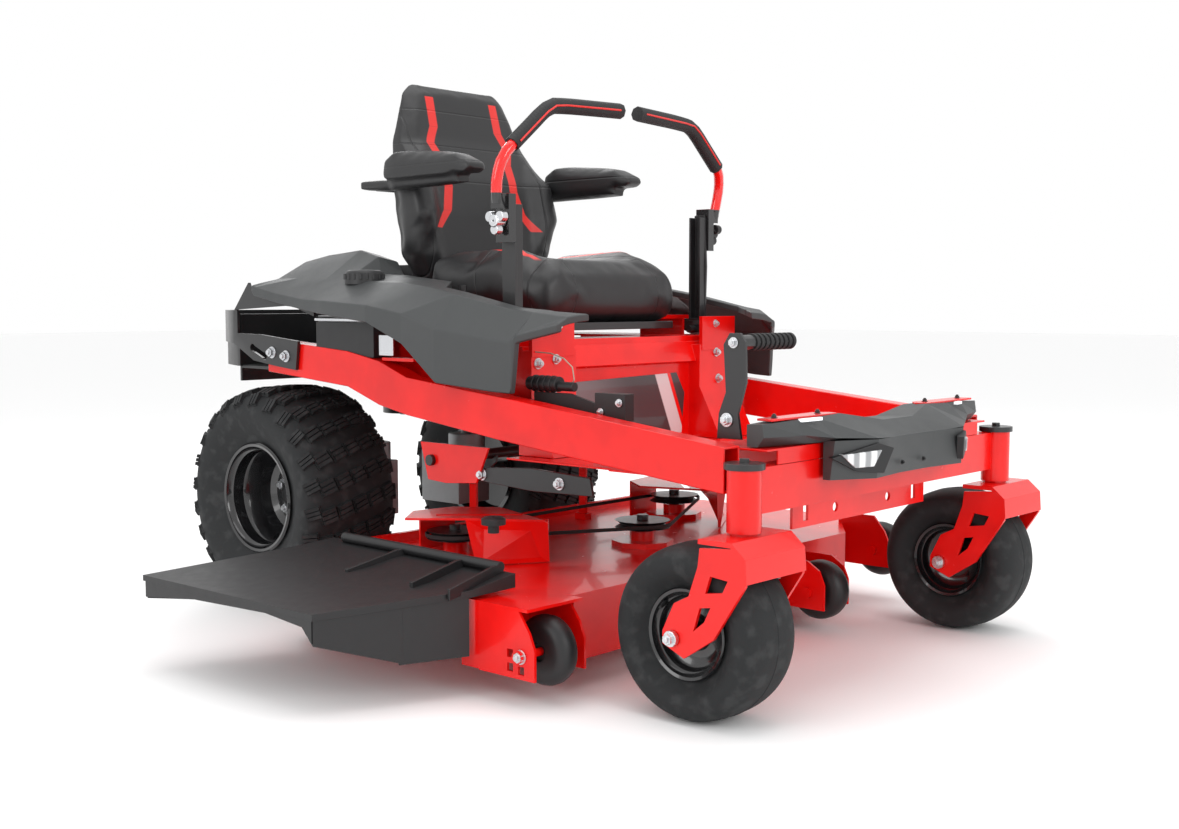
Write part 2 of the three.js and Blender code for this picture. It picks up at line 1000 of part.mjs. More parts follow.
// Gauge wheel brackets: the plate's side, its front edge and its top.
const BRACKETS = [
  [-DECK_HALF, 334, DECK_TOP],
  [-560, 334, DECK_TOP],
  [186, 262, DECK_TOP - 24],
  [290, 262, DECK_TOP - 24],
  [600, 330, 222],
];

function bracketPlate([x, front, top]) {
  const lift = x > 500 ? 34 : 0;
  return sidePlate(
    [
      [front + 150, top],
      [front + 46, top],
      [front + 14, 150 + lift],
      [front, 118 + lift],
      [front, BRACKET_LOW + lift],
      [front + 150, BRACKET_LOW + lift],
    ],
    x,
    x + SHEET,
  );
}

// Stamped deck: a flat top, a skirt all round, the chute opening and the brackets of the wheels.
function deckShell() {
  const rim = (inset) => [
    [-DECK_HALF + inset, 484 + inset],
    [-560 + inset, 484 + inset],
    [-540 + inset, DECK_FRONT + inset],
    [470 - inset, DECK_FRONT + inset],
    [600 - inset, 470 + inset],
    [DECK_HALF - inset, 560 + inset],
    [DECK_HALF - inset, 1000 - inset],
    [560 - inset, DECK_REAR - inset],
    [-640 + inset, DECK_REAR - inset],
    [-DECK_HALF + inset, 1060 - inset],
  ];
  const [near, far] = CHUTE_Y;
  const top = DECK_TOP - SHEET;
  const shell = cut(
    floorPlate(rim(0), DECK_LOW, DECK_TOP),
    floorPlate(rim(SHEET), DECK_LOW - 1, top),
    block(-DECK_HALF - 1, -DECK_HALF + 40, near, far, DECK_LOW - 1, top - 4),
  );
  const rearFlange = block(-DECK_HALF + 2, 560, 1103, 1117, DECK_TOP - 1, DECK_TOP + 22);
  const shelf = floorPlate(
    [
      [-DECK_HALF, 352],
      [-DECK_HALF, 490],
      [-545, 490],
      [-545, 352],
    ],
    DECK_TOP - SHEET,
    DECK_TOP,
  );
  const leftShelf = block(599, DECK_HALF, 462, 580, DECK_TOP - SHEET, DECK_TOP);
  const body = join(shell, rearFlange, shelf, leftShelf, ...BRACKETS.map(bracketPlate));
  const wells = Object.entries(SPINDLE_Y).map(([place, y]) =>
    rod([spindleX(place), y, 150], [spindleX(place), y, 200], 27, 20),
  );
  return cut(body, ...wells);
}

const DECK_WHEEL_R = 69;
// Gauge wheel: side, distance behind the kingpins, height, width and the two ends of its bolt.
const DECK_WHEELS = {
  right: [-625, 372, 102, 60, -DECK_HALF - 1, -553],
  center: [241, 306, 96, 70, 185, 297],
  left: [645, 378, 132, 60, 599, 690],
};

const spindleX = (place) => (SIDES[place] ?? 0) * SPINDLE_X;

function deckWheel([x, y, z, wide]) {
  return wheelShape(
    [
      [-wide / 2, 14],
      [-wide / 2, 46],
      [-wide / 2 + 8, 62],
      [-6, DECK_WHEEL_R],
      [6, DECK_WHEEL_R],
      [wide / 2 - 8, 62],
      [wide / 2, 46],
      [wide / 2, 14],
    ],
    [x, y, z],
    20,
  );
}

const deckWheelBolt = ([, y, z, , from, to]) =>
  join(
    rod([from, y, z], [to, y, z], 8),
    rod([from - 8, y, z], [from + 0.5, y, z], 13),
    rod([to - 0.5, y, z], [to + 8, y, z], 11, 6),
  );

// Pulley, shaft and blade turn as one.
function spindle(place) {
  const x = spindleX(place);
  const y = SPINDLE_Y[place];
  const pulley = outward(
    new THREE.LatheGeometry(
      [
        [0, 236],
        [66, 236],
        [52, 245],
        [66, 254],
        [0, 254],
      ].map(([r, z]) => new THREE.Vector2(r, z)),
      24,
    ).rotateX(Math.PI / 2),
  ).translate([x, y, 0]);
  const shaft = rod([x, y, 76], [x, y, 266], 14);
  const turn = place === "center" ? 0.9 : 0.35;
  const tip = [Math.cos(turn) * BLADE_R, Math.sin(turn) * BLADE_R];
  const across = [-Math.sin(turn) * 28, Math.cos(turn) * 28];
  const blade = floorPlate(
    [
      [x + tip[0] * 0.985 + across[0], y + tip[1] * 0.985 + across[1]],
      [x - tip[0] * 0.985 + across[0], y - tip[1] * 0.985 + across[1]],
      [x - tip[0] * 0.985 - across[0], y - tip[1] * 0.985 - across[1]],
      [x + tip[0] * 0.985 - across[0], y + tip[1] * 0.985 - across[1]],
    ],
    84,
    90,
  );
  const boss = rod([x, y, 74], [x, y, 102], 32);
  return join(pulley, shaft, blade, boss);
}

function spindleHousing(place) {
  const x = spindleX(place);
  const y = SPINDLE_Y[place];
  return cut(
    join(
      rod([x, y, DECK_TOP - 2], [x, y, DECK_TOP + 12], 74, 8),
      rod([x, y, 104], [x, y, 228], 29, 20),
    ),
    rod([x, y, 90], [x, y, 240], 15),
  );
}

// Bent cover over an outer pulley: a slotted roof, a sloping front flap and a foot at the back.
function beltCover(side) {
  const roof = [
    [-517, 909],
    [-423, 800],
    [-330, 657],
    [-257, 871],
    [-322, 960],
    [-430, 980],
  ];
  const slot = (x, y) =>
    floorPlate(
      [
        [x - 46, y + 34],
        [x - 34, y + 48],
        [x + 46, y - 34],
        [x + 34, y - 48],
      ],
      280,
      295,
    );
  const flap = loft([
    [
      [-432, 804, 286],
      [-330, 648, 286],
      [-312, 662, 290],
      [-414, 818, 290],
    ],
    [
      [-462, 738, DECK_TOP + 2],
      [-318, 654, DECK_TOP + 2],
      [-314, 660, DECK_TOP + 2],
      [-458, 744, DECK_TOP + 2],
    ],
  ]);
  const foot = block(-430, -322, 956, 961, DECK_TOP + 1, 288);
  const shell = cut(
    join(floorPlate(roof, 285, 290), flap, foot),
    slot(-400, 850),
    slot(-345, 790),
  );
  return side < 0 ? shell : shell.mirror([1, 0, 0]);
}

// Moulded deflector: hinge leaf on the deck, sloping roof and hanging skirts.
function dischargeChute() {
  const roof = loft([
    [
      [-612, 470, 208],
      [-612, 470, 236],
      [-612, 1040, 244],
      [-612, 1040, 214],
    ],
    [
      [-DECK_HALF - 10, 492, 200],
      [-DECK_HALF - 10, 492, 214],
      [-DECK_HALF - 10, 1076, 230],
      [-DECK_HALF - 10, 1076, 208],
    ],
    [
      [-1000, 612, 184],
      [-1000, 612, 197],
      [-1000, 1190, 196],
      [-1000, 1190, 184],
    ],
  ]);
  const wall = ([ax, ay, aLow, aHigh], [bx, by, bLow, bHigh]) => {
    const thick = 7;
    const along = new THREE.Vector2(bx - ax, by - ay).normalize();
    const [nx, ny] = [along.y * thick, -along.x * thick];
    return loft([
      [
        [ax, ay, aLow],
        [ax + nx, ay + ny, aLow],
        [ax + nx, ay + ny, aHigh],
        [ax, ay, aHigh],
      ],
      [
        [bx, by, bLow],
        [bx + nx, by + ny, bLow],
        [bx + nx, by + ny, bHigh],
        [bx, by, bHigh],
      ],
    ]);
  };
  const front = wall([-DECK_HALF - 12, 497, 84, 206], [-842, 552, 82, 202]);
  const frontEnd = wall([-836, 549, 84, 202], [-996, 615, 136, 191]);
  const outer = sidePlate(
    [
      [617, 140],
      [646, 168],
      [760, 178],
      [1000, 170],
      [1184, 150],
      [1184, 190],
      [617, 190],
    ],
    -998,
    -991,
  );
  const rear = wall([-995, 1183, 148, 190], [-DECK_HALF - 12, 1072, 110, 214]);
  return join(roof, front, frontEnd, outer, rear);
}

// Belt round the three deck pulleys.
function deckBelt() {
  const hull = (grow) => {
    const shape = [];
    const arc = (x, y, from, to) => {
      const steps = 7;
      for (let i = 0; i <= steps; i += 1) {
        const angle = from + ((to - from) * i) / steps;
        shape.push([
          x + (62 + grow) * Math.cos(angle),
          y + (62 + grow) * Math.sin(angle),
        ]);
      }
    };
    const forward = Math.PI * 1.5;
    const lean = Math.atan2(SPINDLE_Y.left - SPINDLE_Y.center, SPINDLE_X);
    arc(-SPINDLE_X, SPINDLE_Y.right, Math.PI / 2, forward - lean);
    arc(0, SPINDLE_Y.center, forward - lean, forward + lean);
    arc(SPINDLE_X, SPINDLE_Y.left, forward + lean, Math.PI * 2.5);
    return shape;
  };
  return cut(
    floorPlate(hull(7.6), 241, 249),
    floorPlate(hull(4.6), 240, 250),
  );
}

// Lift shaft across the frame, with a crank that reaches over each deck hanger.
function liftShaft() {
  const crank = (x) =>
    sidePlate(
      [
        [930, 404],
        [962, 404],
        [1030, 344],
        [1030, 328],
        [1010, 328],
        [930, 388],
      ],
      x,
      x + 8,
    );
  return join(rod([-412, 946, 408], [412, 946, 408], 13), crank(-212), crank(204));
}

const hanger = (side) =>
  join(
    block(side * 200 - 3, side * 200 + 3, 1008, 1032, DECK_TOP - 1, 330),
    block(side * 200 - 12, side * 200 + 12, 1002, 1038, DECK_TOP - 1, DECK_TOP + 16),
  );

// ---------------------------------------------------------------- small fittings
function throttleLever() {
  return join(
    rod([-300, 940, 741], [-300, 944, 784], 4, 8),
    rod([-300, 944, 782], [-300, 946, 808], 9, 10),
  );
}

const ptoKnob = () =>
  join(
    rod([-318, 890, 736 + GAP], [-318, 890, 768], 9),
    rod([-318, 890, 766], [-318, 890, 780], 17, 16, 21),
  );

// Drive pulley and clutch on the lower end of the crankshaft.
const enginePulley = () =>
  join(
    rod([0, ENGINE_Y, 460], [0, ENGINE_Y, ENGINE_PLATE_Z + 4], 16),
    rod([0, ENGINE_Y, 500], [0, ENGINE_Y, 520], 55, 24),
    rod([0, ENGINE_Y, 466], [0, ENGINE_Y, 490], 62, 24),
  );

// ---------------------------------------------------------------- assembly
add("front_axle_beam", join(frontAxleBeam(), frontHangerPlate()), RED);
add("foot_deck", footDeck(), RED);
const consoles = Object.values(SIDES).flatMap((side) => [consolePost(side), consoleTop(side)]);
add("seat_tower", join(seatTower(), ...consoles), RED);
add("engine_plate", enginePlate(), BLACK_STEEL);
add("rear_bumper", rearBumper(), BLACK_STEEL);
add("engine_block", engineBlock(), CAST);
add("engine_cover", engineCover(), PLASTIC);
add("muffler", muffler(), CAST);
add("engine_pulley", enginePulley(), CAST);
add("deck_belt", deckBelt(), RUBBER);
add("headlight_bar", headlightBar(), PLASTIC);
add("lift_shaft", liftShaft(), BLACK_STEEL);

for (const [name, side] of Object.entries(SIDES)) {
  add(`frame_rail_${name}`, frameRail(side), RED);
  add(`kingpin_cap_${name}`, kingpinCap(side), BLACK_STEEL);
  add(`fender_${name}`, fender(side), PLASTIC);
  add(`caster_fork_${name}`, casterFork(side), RED);
  add(`caster_tyre_${name}`, casterTyre(side), RUBBER);
  add(`caster_rim_${name}`, casterRim(side), BLACK_STEEL);
  add(
    `caster_axle_${name}`,
    axleBolt(side * KINGPIN_X, CASTER_TRAIL, CASTER_R, AXLE_END, 10, 15),
    ZINC,
  );
  add(`rear_tyre_${name}`, rearTyre(side), RUBBER);
  add(`rear_rim_${name}`, rearRim(side), BLACK_STEEL);
  add(`transaxle_${name}`, transaxle(side), BLACK_STEEL);
  add(`control_hub_${name}`, controlHub(side), BLACK_STEEL);
  add(`lap_arm_${name}`, lapArm(side), BLACK_STEEL);
  add(`lap_tube_${name}`, lapTube(side), RED);
  add(`lap_grip_${name}`, lapGrip(side), RUBBER);
  add(`adjust_knob_${name}`, adjustKnob(side), ZINC);
  add(`armrest_${name}`, armrest(side), VINYL);
  add(`belt_cover_${name}`, beltCover(side), RED);
}

add("seat_pan", seatPan(), BLACK_STEEL);
add("seat_cushion", seatCushion(), VINYL);
add("seat_back", seatBack(), VINYL);
add(
  "deck_shell",
  join(
    deckShell(),
    ...Object.values(DECK_WHEELS).map(deckWheelBolt),
    ...Object.keys(SPINDLE_Y).map(spindleHousing),
    hanger(-1),
    hanger(1),
  ),
  RED,
);
add("discharge_chute", dischargeChute(), PLASTIC);
for (const place of Object.keys(SPINDLE_Y)) {
  add(`spindle_${place}`, spindle(place), BLACK_STEEL);
}
for (const [place, at] of Object.entries(DECK_WHEELS)) {
  add(`deck_wheel_${place}`, deckWheel(at), RUBBER);
}
add("lift_pedal", liftPedal(), BLACK_STEEL);
add("throttle_lever", throttleLever(), PLASTIC);
add("pto_knob", ptoKnob(), RED);

// The origin is the middle of the machine's footprint, on the ground.
const extent = new THREE.Box3().setFromObject(mower);
const middle = extent.getCenter(new THREE.Vector3());
mower.position.set(-middle.x, -middle.y, -extent.min.z);

export default mower;
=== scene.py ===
import math

import bpy
from mathutils import Matrix, Vector


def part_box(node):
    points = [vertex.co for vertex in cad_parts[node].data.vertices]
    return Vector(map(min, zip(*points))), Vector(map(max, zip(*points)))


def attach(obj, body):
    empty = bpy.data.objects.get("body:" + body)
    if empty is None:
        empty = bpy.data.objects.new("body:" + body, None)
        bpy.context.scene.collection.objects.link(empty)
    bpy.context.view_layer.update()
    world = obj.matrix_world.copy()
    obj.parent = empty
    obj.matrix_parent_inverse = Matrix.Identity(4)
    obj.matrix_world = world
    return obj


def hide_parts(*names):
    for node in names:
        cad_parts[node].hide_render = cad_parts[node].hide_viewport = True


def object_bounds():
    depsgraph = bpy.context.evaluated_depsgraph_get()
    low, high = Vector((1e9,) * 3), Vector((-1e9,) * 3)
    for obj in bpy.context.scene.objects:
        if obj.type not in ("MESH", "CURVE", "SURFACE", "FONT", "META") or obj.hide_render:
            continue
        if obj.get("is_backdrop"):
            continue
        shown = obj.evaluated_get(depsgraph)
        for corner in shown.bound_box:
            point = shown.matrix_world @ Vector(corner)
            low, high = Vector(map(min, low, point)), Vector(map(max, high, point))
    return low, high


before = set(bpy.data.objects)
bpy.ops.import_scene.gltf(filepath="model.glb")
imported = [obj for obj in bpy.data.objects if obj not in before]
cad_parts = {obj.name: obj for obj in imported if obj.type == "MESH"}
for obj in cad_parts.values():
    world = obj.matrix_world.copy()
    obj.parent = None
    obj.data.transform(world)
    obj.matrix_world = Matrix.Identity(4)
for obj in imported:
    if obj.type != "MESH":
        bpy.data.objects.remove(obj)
cad_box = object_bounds()

SIDES = {"right": -1, "left": 1}  # the operator's right is towards -X
UP = Vector((0, 0, 1))
ACROSS = Vector((1, 0, 0))

# ---------------------------------------------------------------- datum
# Places are given in metres from the middle of the machine, the line through the two caster
# kingpins and the ground, the way the machine itself is laid out.
cap_low, cap_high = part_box("kingpin_cap_right")
far_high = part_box("kingpin_cap_left")[1]
datum = Vector(((cap_low.x + far_high.x) / 2, (cap_low.y + cap_high.y) / 2, 0))


def at(x, y, z):
    return datum + Vector((x, y, z))

# ---------------------------------------------------------------- camera
# A long lens from ahead of the machine and to the operator's right, a little above the fenders.
bpy.ops.object.camera_add(
    location=at(-2.569, -1.469, 0.772),
    rotation=(math.radians(90 - 4.6), 0, math.radians(-48.31)),
)
camera = bpy.context.object
camera.data.sensor_width = 36
camera.data.lens = 43.1
bpy.context.scene.camera = camera

# ---------------------------------------------------------------- floor and lights
# A pale studio: a plain floor, a bright sky all round and a few large soft lamps.
bpy.ops.mesh.primitive_plane_add(size=60, location=(0, 0, 0))
floor = bpy.context.object
floor.name = "studio_floor"
floor_finish = bpy.data.materials.new("studio_floor")
floor_finish.use_nodes = True
floor_shader = floor_finish.node_tree.nodes["Principled BSDF"]
floor_shader.inputs["Base Color"].default_value = (0.96, 0.96, 0.96, 1)
floor_shader.inputs["Roughness"].default_value = 0.7
floor_shader.inputs["Specular IOR Level"].default_value = 0.1
floor.data.materials.append(floor_finish)
floor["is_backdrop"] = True

world = bpy.data.worlds.new("studio")
world.use_nodes = True
world.node_tree.nodes["Background"].inputs["Color"].default_value = (1, 1, 1, 1)
world.node_tree.nodes["Background"].inputs["Strength"].default_value = 1.0
bpy.context.scene.world = world
bpy.context.scene.view_settings.view_transform = "Standard"


def soft_lamp(name, place, target, size, power):
    """A square area lamp that faces the target."""
    aim = (target - place).to_track_quat("-Z", "Y").to_euler()
    bpy.ops.object.light_add(type="AREA", location=place, rotation=aim)
    lamp = bpy.context.object
    lamp.name = name
    lamp.data.size = size
    lamp.data.energy = power


MACHINE = at(0, 0.8, 0.5)
soft_lamp("overhead", at(0, 0.6, 4.2), MACHINE, 3.5, 60)
soft_lamp("front_key", at(-1.2, -4.5, 2.6), MACHINE, 2.0, 60)
soft_lamp("side_fill", at(-5.0, 1.6, 2.2), MACHINE, 2.4, 55)
soft_lamp("rear_rim", at(2.5, 4.5, 3.0), MACHINE, 2.0, 40)

# ---------------------------------------------------------------- welded frame
# Rails, front beam with its kingpin tubes, foot floor and seat tower: sheet and tube steel, welded
# up and powder coated in one bright red. The coat is glossy, with a faint orange-peel skin.
class Value:
    """One output in a material. Arithmetic on it adds the Math nodes."""

    def __init__(self, finish, socket):
        self.finish = finish
        self.socket = socket

    def maths(self, operation, *terms):
        settings = {"operation": operation}
        return self.finish.node("ShaderNodeMath", settings, dict(enumerate(terms)))

    def __add__(self, other):
        return self.maths("ADD", self, other)

    __radd__ = __add__

    def __mul__(self, other):
        return self.maths("MULTIPLY", self, other)

    __rmul__ = __mul__

    def __sub__(self, other):
        return self.maths("SUBTRACT", self, other)

    def __rsub__(self, other):
        return self.maths("SUBTRACT", other, self)

    def above(self, edge, soft):
        """A mask that turns from 0 to 1 as this passes the edge."""
        settings = {"interpolation_type": "SMOOTHSTEP"}
        sockets = {"Value": self, "From Min": edge - soft, "From Max": edge + soft}
        return self.finish.node("ShaderNodeMapRange", settings, sockets)


class Finish:
    """A material being mixed. Colours are linear, and lengths are in metres."""

    def __init__(self, name, colour, roughness, **uniform):
        self.material = bpy.data.materials.new(name)
        self.material.use_nodes = True
        self.tree = self.material.node_tree
        self.shader = self.tree.nodes["Principled BSDF"]
        self.shine(**{"Base Color": colour, "Roughness": roughness}, **uniform)

    def feed(self, socket, value):
        if isinstance(value, Value):
            self.tree.links.new(value.socket, socket)
        elif isinstance(value, (tuple, Vector)) and len(value) == 3 and socket.type == "RGBA":
            socket.default_value = (*value, 1)
        else:
            socket.default_value = value

    def shine(self, **sockets):
        for name, value in sockets.items():
            self.feed(self.shader.inputs[name.replace("_", " ")], value)

    def node(self, kind, settings=None, sockets=None, output=0):
        made = self.tree.nodes.new(kind)
        for name, value in (settings or {}).items():
            setattr(made, name, value)
        for name, value in (sockets or {}).items():
            self.feed(made.inputs[name], value)
        return Value(self, made.outputs[output])

    def place(self):
        return self.node("ShaderNodeTexCoord", output=3)

    def axis(self, letter):
        return self.node("ShaderNodeSeparateXYZ", None, {0: self.place()}, "XYZ".index(letter))

    def noise(self, scale, detail=2.0, squeeze=(1, 1, 1)):
        """Noise with that many spots to the metre, squeezed along the axes."""
        where = self.node("ShaderNodeMapping", None, {"Vector": self.place(), "Scale": squeeze})
        return self.node("ShaderNodeTexNoise", None, {"Vector": where, "Scale": scale, "Detail": detail})

    def cells(self, scale, feature="F1"):
        settings = {"feature": feature}
        return self.node("ShaderNodeTexVoronoi", settings, {"Vector": self.place(), "Scale": scale})

    def mix(self, mask, below, above):
        """The colour below where the mask is 0, and above where it is 1."""
        return self.node("ShaderNodeMix", {"data_type": "RGBA"}, {0: mask, 6: below, 7: above}, 2)

    def relief(self, height, depth, strength=1.0):
        sockets = {"Height": height, "Distance": depth, "Strength": strength}
        self.shine(Normal=self.node("ShaderNodeBump", None, sockets))


RED = (0.86, 0.004, 0.002)
DEEP_RED = (0.70, 0.003, 0.002)
red_paint = Finish("red_powder_coat", RED, 0.24, **{"Coat Weight": 0.22, "Specular IOR Level": 0.35})
cloud = red_paint.noise(9, 3)
red_paint.shine(Base_Color=red_paint.mix(cloud.above(0.5, 0.25), DEEP_RED, RED))
red_paint.shine(Roughness=0.2 + 0.1 * red_paint.noise(40, 4))
red_paint.relief(red_paint.noise(420, 1), 0.0003, 0.25)

EDGE = math.radians(30)  # sharper corners than this are real edges


def free():
    """Leaves edit mode with nothing selected, so that operators act on the next piece only."""
    if bpy.context.mode != "OBJECT":
        bpy.ops.object.mode_set(mode="OBJECT")
    bpy.ops.object.select_all(action="DESELECT")


def take(piece):
    free()
    piece.select_set(True)
    bpy.context.view_layer.objects.active = piece


def edit(piece):
    take(piece)
    bpy.ops.object.mode_set(mode="EDIT")
    bpy.ops.mesh.select_all(action="SELECT")


def modify(piece, kind, **settings):
    """Adds a modifier with these settings and applies it."""
    take(piece)
    modifier = piece.modifiers.new(kind.lower(), kind)
    for name, value in settings.items():
        setattr(modifier, name, value)
    bpy.ops.object.modifier_apply(modifier=modifier.name)


def round_off(piece, width, segments=2, sharp=EDGE):
    """Smooth shading with every real edge rounded to that width."""
    take(piece)
    bpy.ops.object.shade_smooth_by_angle(angle=sharp)
    modify(
        piece,
        "BEVEL",
        width=width,
        segments=segments,
        limit_method="ANGLE",
        angle_limit=sharp,
        harden_normals=True,
    )


def fit(piece, name, body, finish):
    """Names a finished piece, sets its place in its mesh, paints it and hangs it on its body."""
    take(piece)
    bpy.ops.object.transform_apply(location=True, rotation=True, scale=True)
    piece.name = piece.data.name = name
    if finish:
        piece.data.materials.clear()
        piece.data.materials.append(finish.material)
    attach(piece, body)
    return piece


def copied(node, whole=True):
    """A copy of a CAD node whose loose triangles are merged, and its flat faces made whole."""
    piece = bpy.data.objects.new(node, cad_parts[node].data.copy())
    bpy.context.collection.objects.link(piece)
    edit(piece)
    bpy.ops.mesh.customdata_custom_splitnormals_clear()
    bpy.ops.mesh.remove_doubles(threshold=2e-5)
    if whole:
        bpy.ops.mesh.dissolve_limited(angle_limit=math.radians(0.5))
    free()
    return piece


def dressed(node, body, finish, edge, cutters=(), sharp=EDGE):
    """The finished form of a CAD node: bored by the cutters, rounded and painted."""
    piece = copied(node)
    for cutter in cutters:
        bore(piece, cutter)
    round_off(piece, edge, sharp=sharp)
    fit(piece, f"{node}_finished", body, finish)
    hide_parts(node)
    return piece


def bore(piece, cutter):
    """Cuts the cutter's shape out of the piece and throws the cutter away."""
    modify(piece, "BOOLEAN", object=cutter, operation="DIFFERENCE", solver="EXACT")
    bpy.data.objects.remove(cutter)


def block(low, high):
    """A box between two corners."""
    free()
    bpy.ops.mesh.primitive_cube_add(size=1, location=(low + high) / 2, scale=high - low)
    return bpy.context.object


def bar(start, end, radius, sides=32, tip=None):
    """A round bar between two points, tapered where the tip has a radius of its own."""
    free()
    line = end - start
    bpy.ops.mesh.primitive_cone_add(
        vertices=sides,
        radius1=radius,
        radius2=radius if tip is None else tip,
        depth=line.length,
        location=(start + end) / 2,
        rotation=line.to_track_quat("Z", "Y").to_euler(),
    )
    return bpy.context.object


def plate(corners, depth):
    """A flat plate with these corners, as thick as the depth vector."""
    free()
    bpy.ops.mesh.primitive_circle_add(vertices=len(corners), fill_type="NGON")
    piece = bpy.context.object
    for vertex, corner in zip(piece.data.vertices, corners):
        vertex.co = corner
    edit(piece)
    bpy.ops.mesh.extrude_region_move(TRANSFORM_OT_translate={"value": depth})
    bpy.ops.mesh.select_all(action="SELECT")
    bpy.ops.mesh.normals_make_consistent(inside=False)
    free()
    return piece


def joined(pieces):
    """Several loose pieces as one object."""
    free()
    for piece in pieces:
        piece.select_set(True)
    bpy.context.view_layer.objects.active = pieces[0]
    bpy.ops.object.join()
    return bpy.context.object


for node, edge in (
    ("frame_rail_right", 0.0024),
    ("frame_rail_left", 0.0024),
    ("front_axle_beam", 0.0012),
    ("foot_deck", 0.0012),
    ("seat_tower", 0.0015),
):
    dressed(node, "frame", red_paint, edge)

# ---------------------------------------------------------------- fasteners
# Zinc-plated flange bolts hold the weldments together. One is made and copied everywhere.
zinc = Finish("bright_zinc", (0.66, 0.67, 0.69), 0.26, Metallic=1.0)
zinc.shine(Roughness=0.2 + 0.16 * zinc.noise(500, 3))
zinc.relief(zinc.noise(900, 2), 0.0002, 0.3)

bpy.ops.mesh.primitive_cylinder_add(vertices=28, radius=0.0105, depth=0.002, location=(0, 0, 0.001))
washer = bpy.context.object
bpy.ops.mesh.primitive_cylinder_add(vertices=6, radius=0.0078, depth=0.007, location=(0, 0, 0.005))
round_off(bpy.context.object, 0.0008)
head = bpy.context.object
bpy.ops.mesh.primitive_cylinder_add(vertices=16, radius=0.0042, depth=0.004, location=(0, 0, 0.010))
pattern = joined([washer, head, bpy.context.object])
modify(pattern, "BEVEL", width=0.0005, segments=2, limit_method="ANGLE", angle_limit=math.radians(50))
take(pattern)
bpy.ops.object.transform_apply(location=True, rotation=True, scale=True)
bolt_shape = pattern.data.copy()
bpy.data.objects.remove(pattern)


def bolts(name, body, spots, finish=zinc):
    """Copies of the bolt: each spot is a place, the way its head faces and its scale."""
    copies = []
    for place, facing, scale in spots:
        piece = bpy.data.objects.new(name, bolt_shape.copy())
        bpy.context.collection.objects.link(piece)
        turn = facing.to_track_quat("Z", "Y").to_matrix().to_4x4()
        piece.data.transform(Matrix.Translation(place) @ turn @ Matrix.Scale(scale, 4))
        copies.append(piece)
    return fit(joined(copies), name, body, finish)


FORWARD = Vector((0, -1, 0))
BACK = Vector((0, 1, 0))
LEFT = ACROSS
RIGHT = -ACROSS

console_front = 0.656
bolts(
    "console_bolts",
    "frame",
    [
        (at(side * x, console_front, z), FORWARD, 1.1)
        for side in SIDES.values()
        for x, z in ((0.295, 0.644), (0.304, 0.578))
    ]
    + [(at(side * 0.289, 0.654, 0.716), FORWARD, 0.9) for side in SIDES.values()]
    + [(at(-0.352, console_front, 0.636), FORWARD, 1.2)],
)

# ---------------------------------------------------------------- rear guard
# Folded steel plate, satin black: a fork on each side is bolted to the rail, and two bands wrap
# round behind the engine.
black_coat = Finish("black_powder_coat", (0.012, 0.012, 0.013), 0.38, **{"Coat Weight": 0.25})
black_coat.shine(Roughness=0.32 + 0.14 * black_coat.noise(60, 4))
black_coat.relief(black_coat.noise(600, 2), 0.0003, 0.3)

GUARD_FACE = 0.465
slots = []
for side in SIDES.values():
    ends = [at(side * 0.45, 1.548, 0.654), at(side * 0.45, 1.498, 0.634)]
    reach = Vector((side * 0.03, 0, 0))
    slots += [bar(end, end + reach, 0.010) for end in ends]
    slots.append(
        plate(
            [
                ends[0] + Vector((0, 0.004, 0.010)),
                ends[1] + Vector((0, 0.004, 0.010)),
                ends[1] - Vector((0, 0.004, 0.010)),
                ends[0] - Vector((0, 0.004, 0.010)),
            ],
            reach,
        )
    )
dressed("rear_bumper", "frame", black_coat, 0.0015, slots)
bolts(
    "guard_bolts",
    "frame",
    [
        (at(side * GUARD_FACE, y, z), ACROSS * side, 1.4)
        for side in SIDES.values()
        for y, z in ((1.464, 0.644), (1.407, 0.636))
    ],
)

# ---------------------------------------------------------------- casters
# A folded red fork on a kingpin, a black dust cap, and a smooth pneumatic tyre on a pressed rim.
rubber = Finish("tyre_rubber", (0.018, 0.019, 0.020), 0.78, **{"Specular IOR Level": 0.35})
scuff = rubber.noise(30, 5)
rubber.shine(Base_Color=rubber.mix(scuff.above(0.58, 0.12), (0.014, 0.015, 0.016), (0.032, 0.033, 0.034)))
rubber.shine(Roughness=0.66 + 0.2 * scuff)
rubber.relief(rubber.noise(380, 4), 0.0006, 0.35)

black_gloss = Finish("black_rim_enamel", (0.008, 0.008, 0.009), 0.2, **{"Coat Weight": 0.7})
black_gloss.shine(Roughness=0.16 + 0.12 * black_gloss.noise(50, 3))
black_gloss.relief(black_gloss.noise(300, 1), 0.0003, 0.2)


def turned(profile, centre, axis, sides=96):
    """A closed shape of revolution: a ring is extruded from point to point of its section.

    The section is a list of (distance along the axis, radius), and ends where it starts.
    """
    free()
    along, radius = profile[0]
    bpy.ops.mesh.primitive_circle_add(
        vertices=sides,
        radius=radius,
        location=centre + axis * along,
        rotation=axis.to_track_quat("Z", "Y").to_euler(),
    )
    piece = bpy.context.object
    take(piece)
    bpy.ops.object.transform_apply(location=True, rotation=True, scale=True)
    edit(piece)
    for next_along, next_radius in (*profile[1:], profile[0]):
        step = axis * (next_along - along)
        bpy.ops.mesh.extrude_region_move(TRANSFORM_OT_translate={"value": step})
        bpy.ops.transform.resize(
            value=(next_radius / radius,) * 3,
            center_override=centre + axis * next_along,
        )
        along, radius = next_along, next_radius
    bpy.ops.mesh.select_all(action="SELECT")
    bpy.ops.mesh.remove_doubles(threshold=1e-5)
    bpy.ops.mesh.normals_make_consistent(inside=False)
    free()
    take(piece)
    bpy.ops.object.shade_smooth_by_angle(angle=math.radians(38))
    return piece


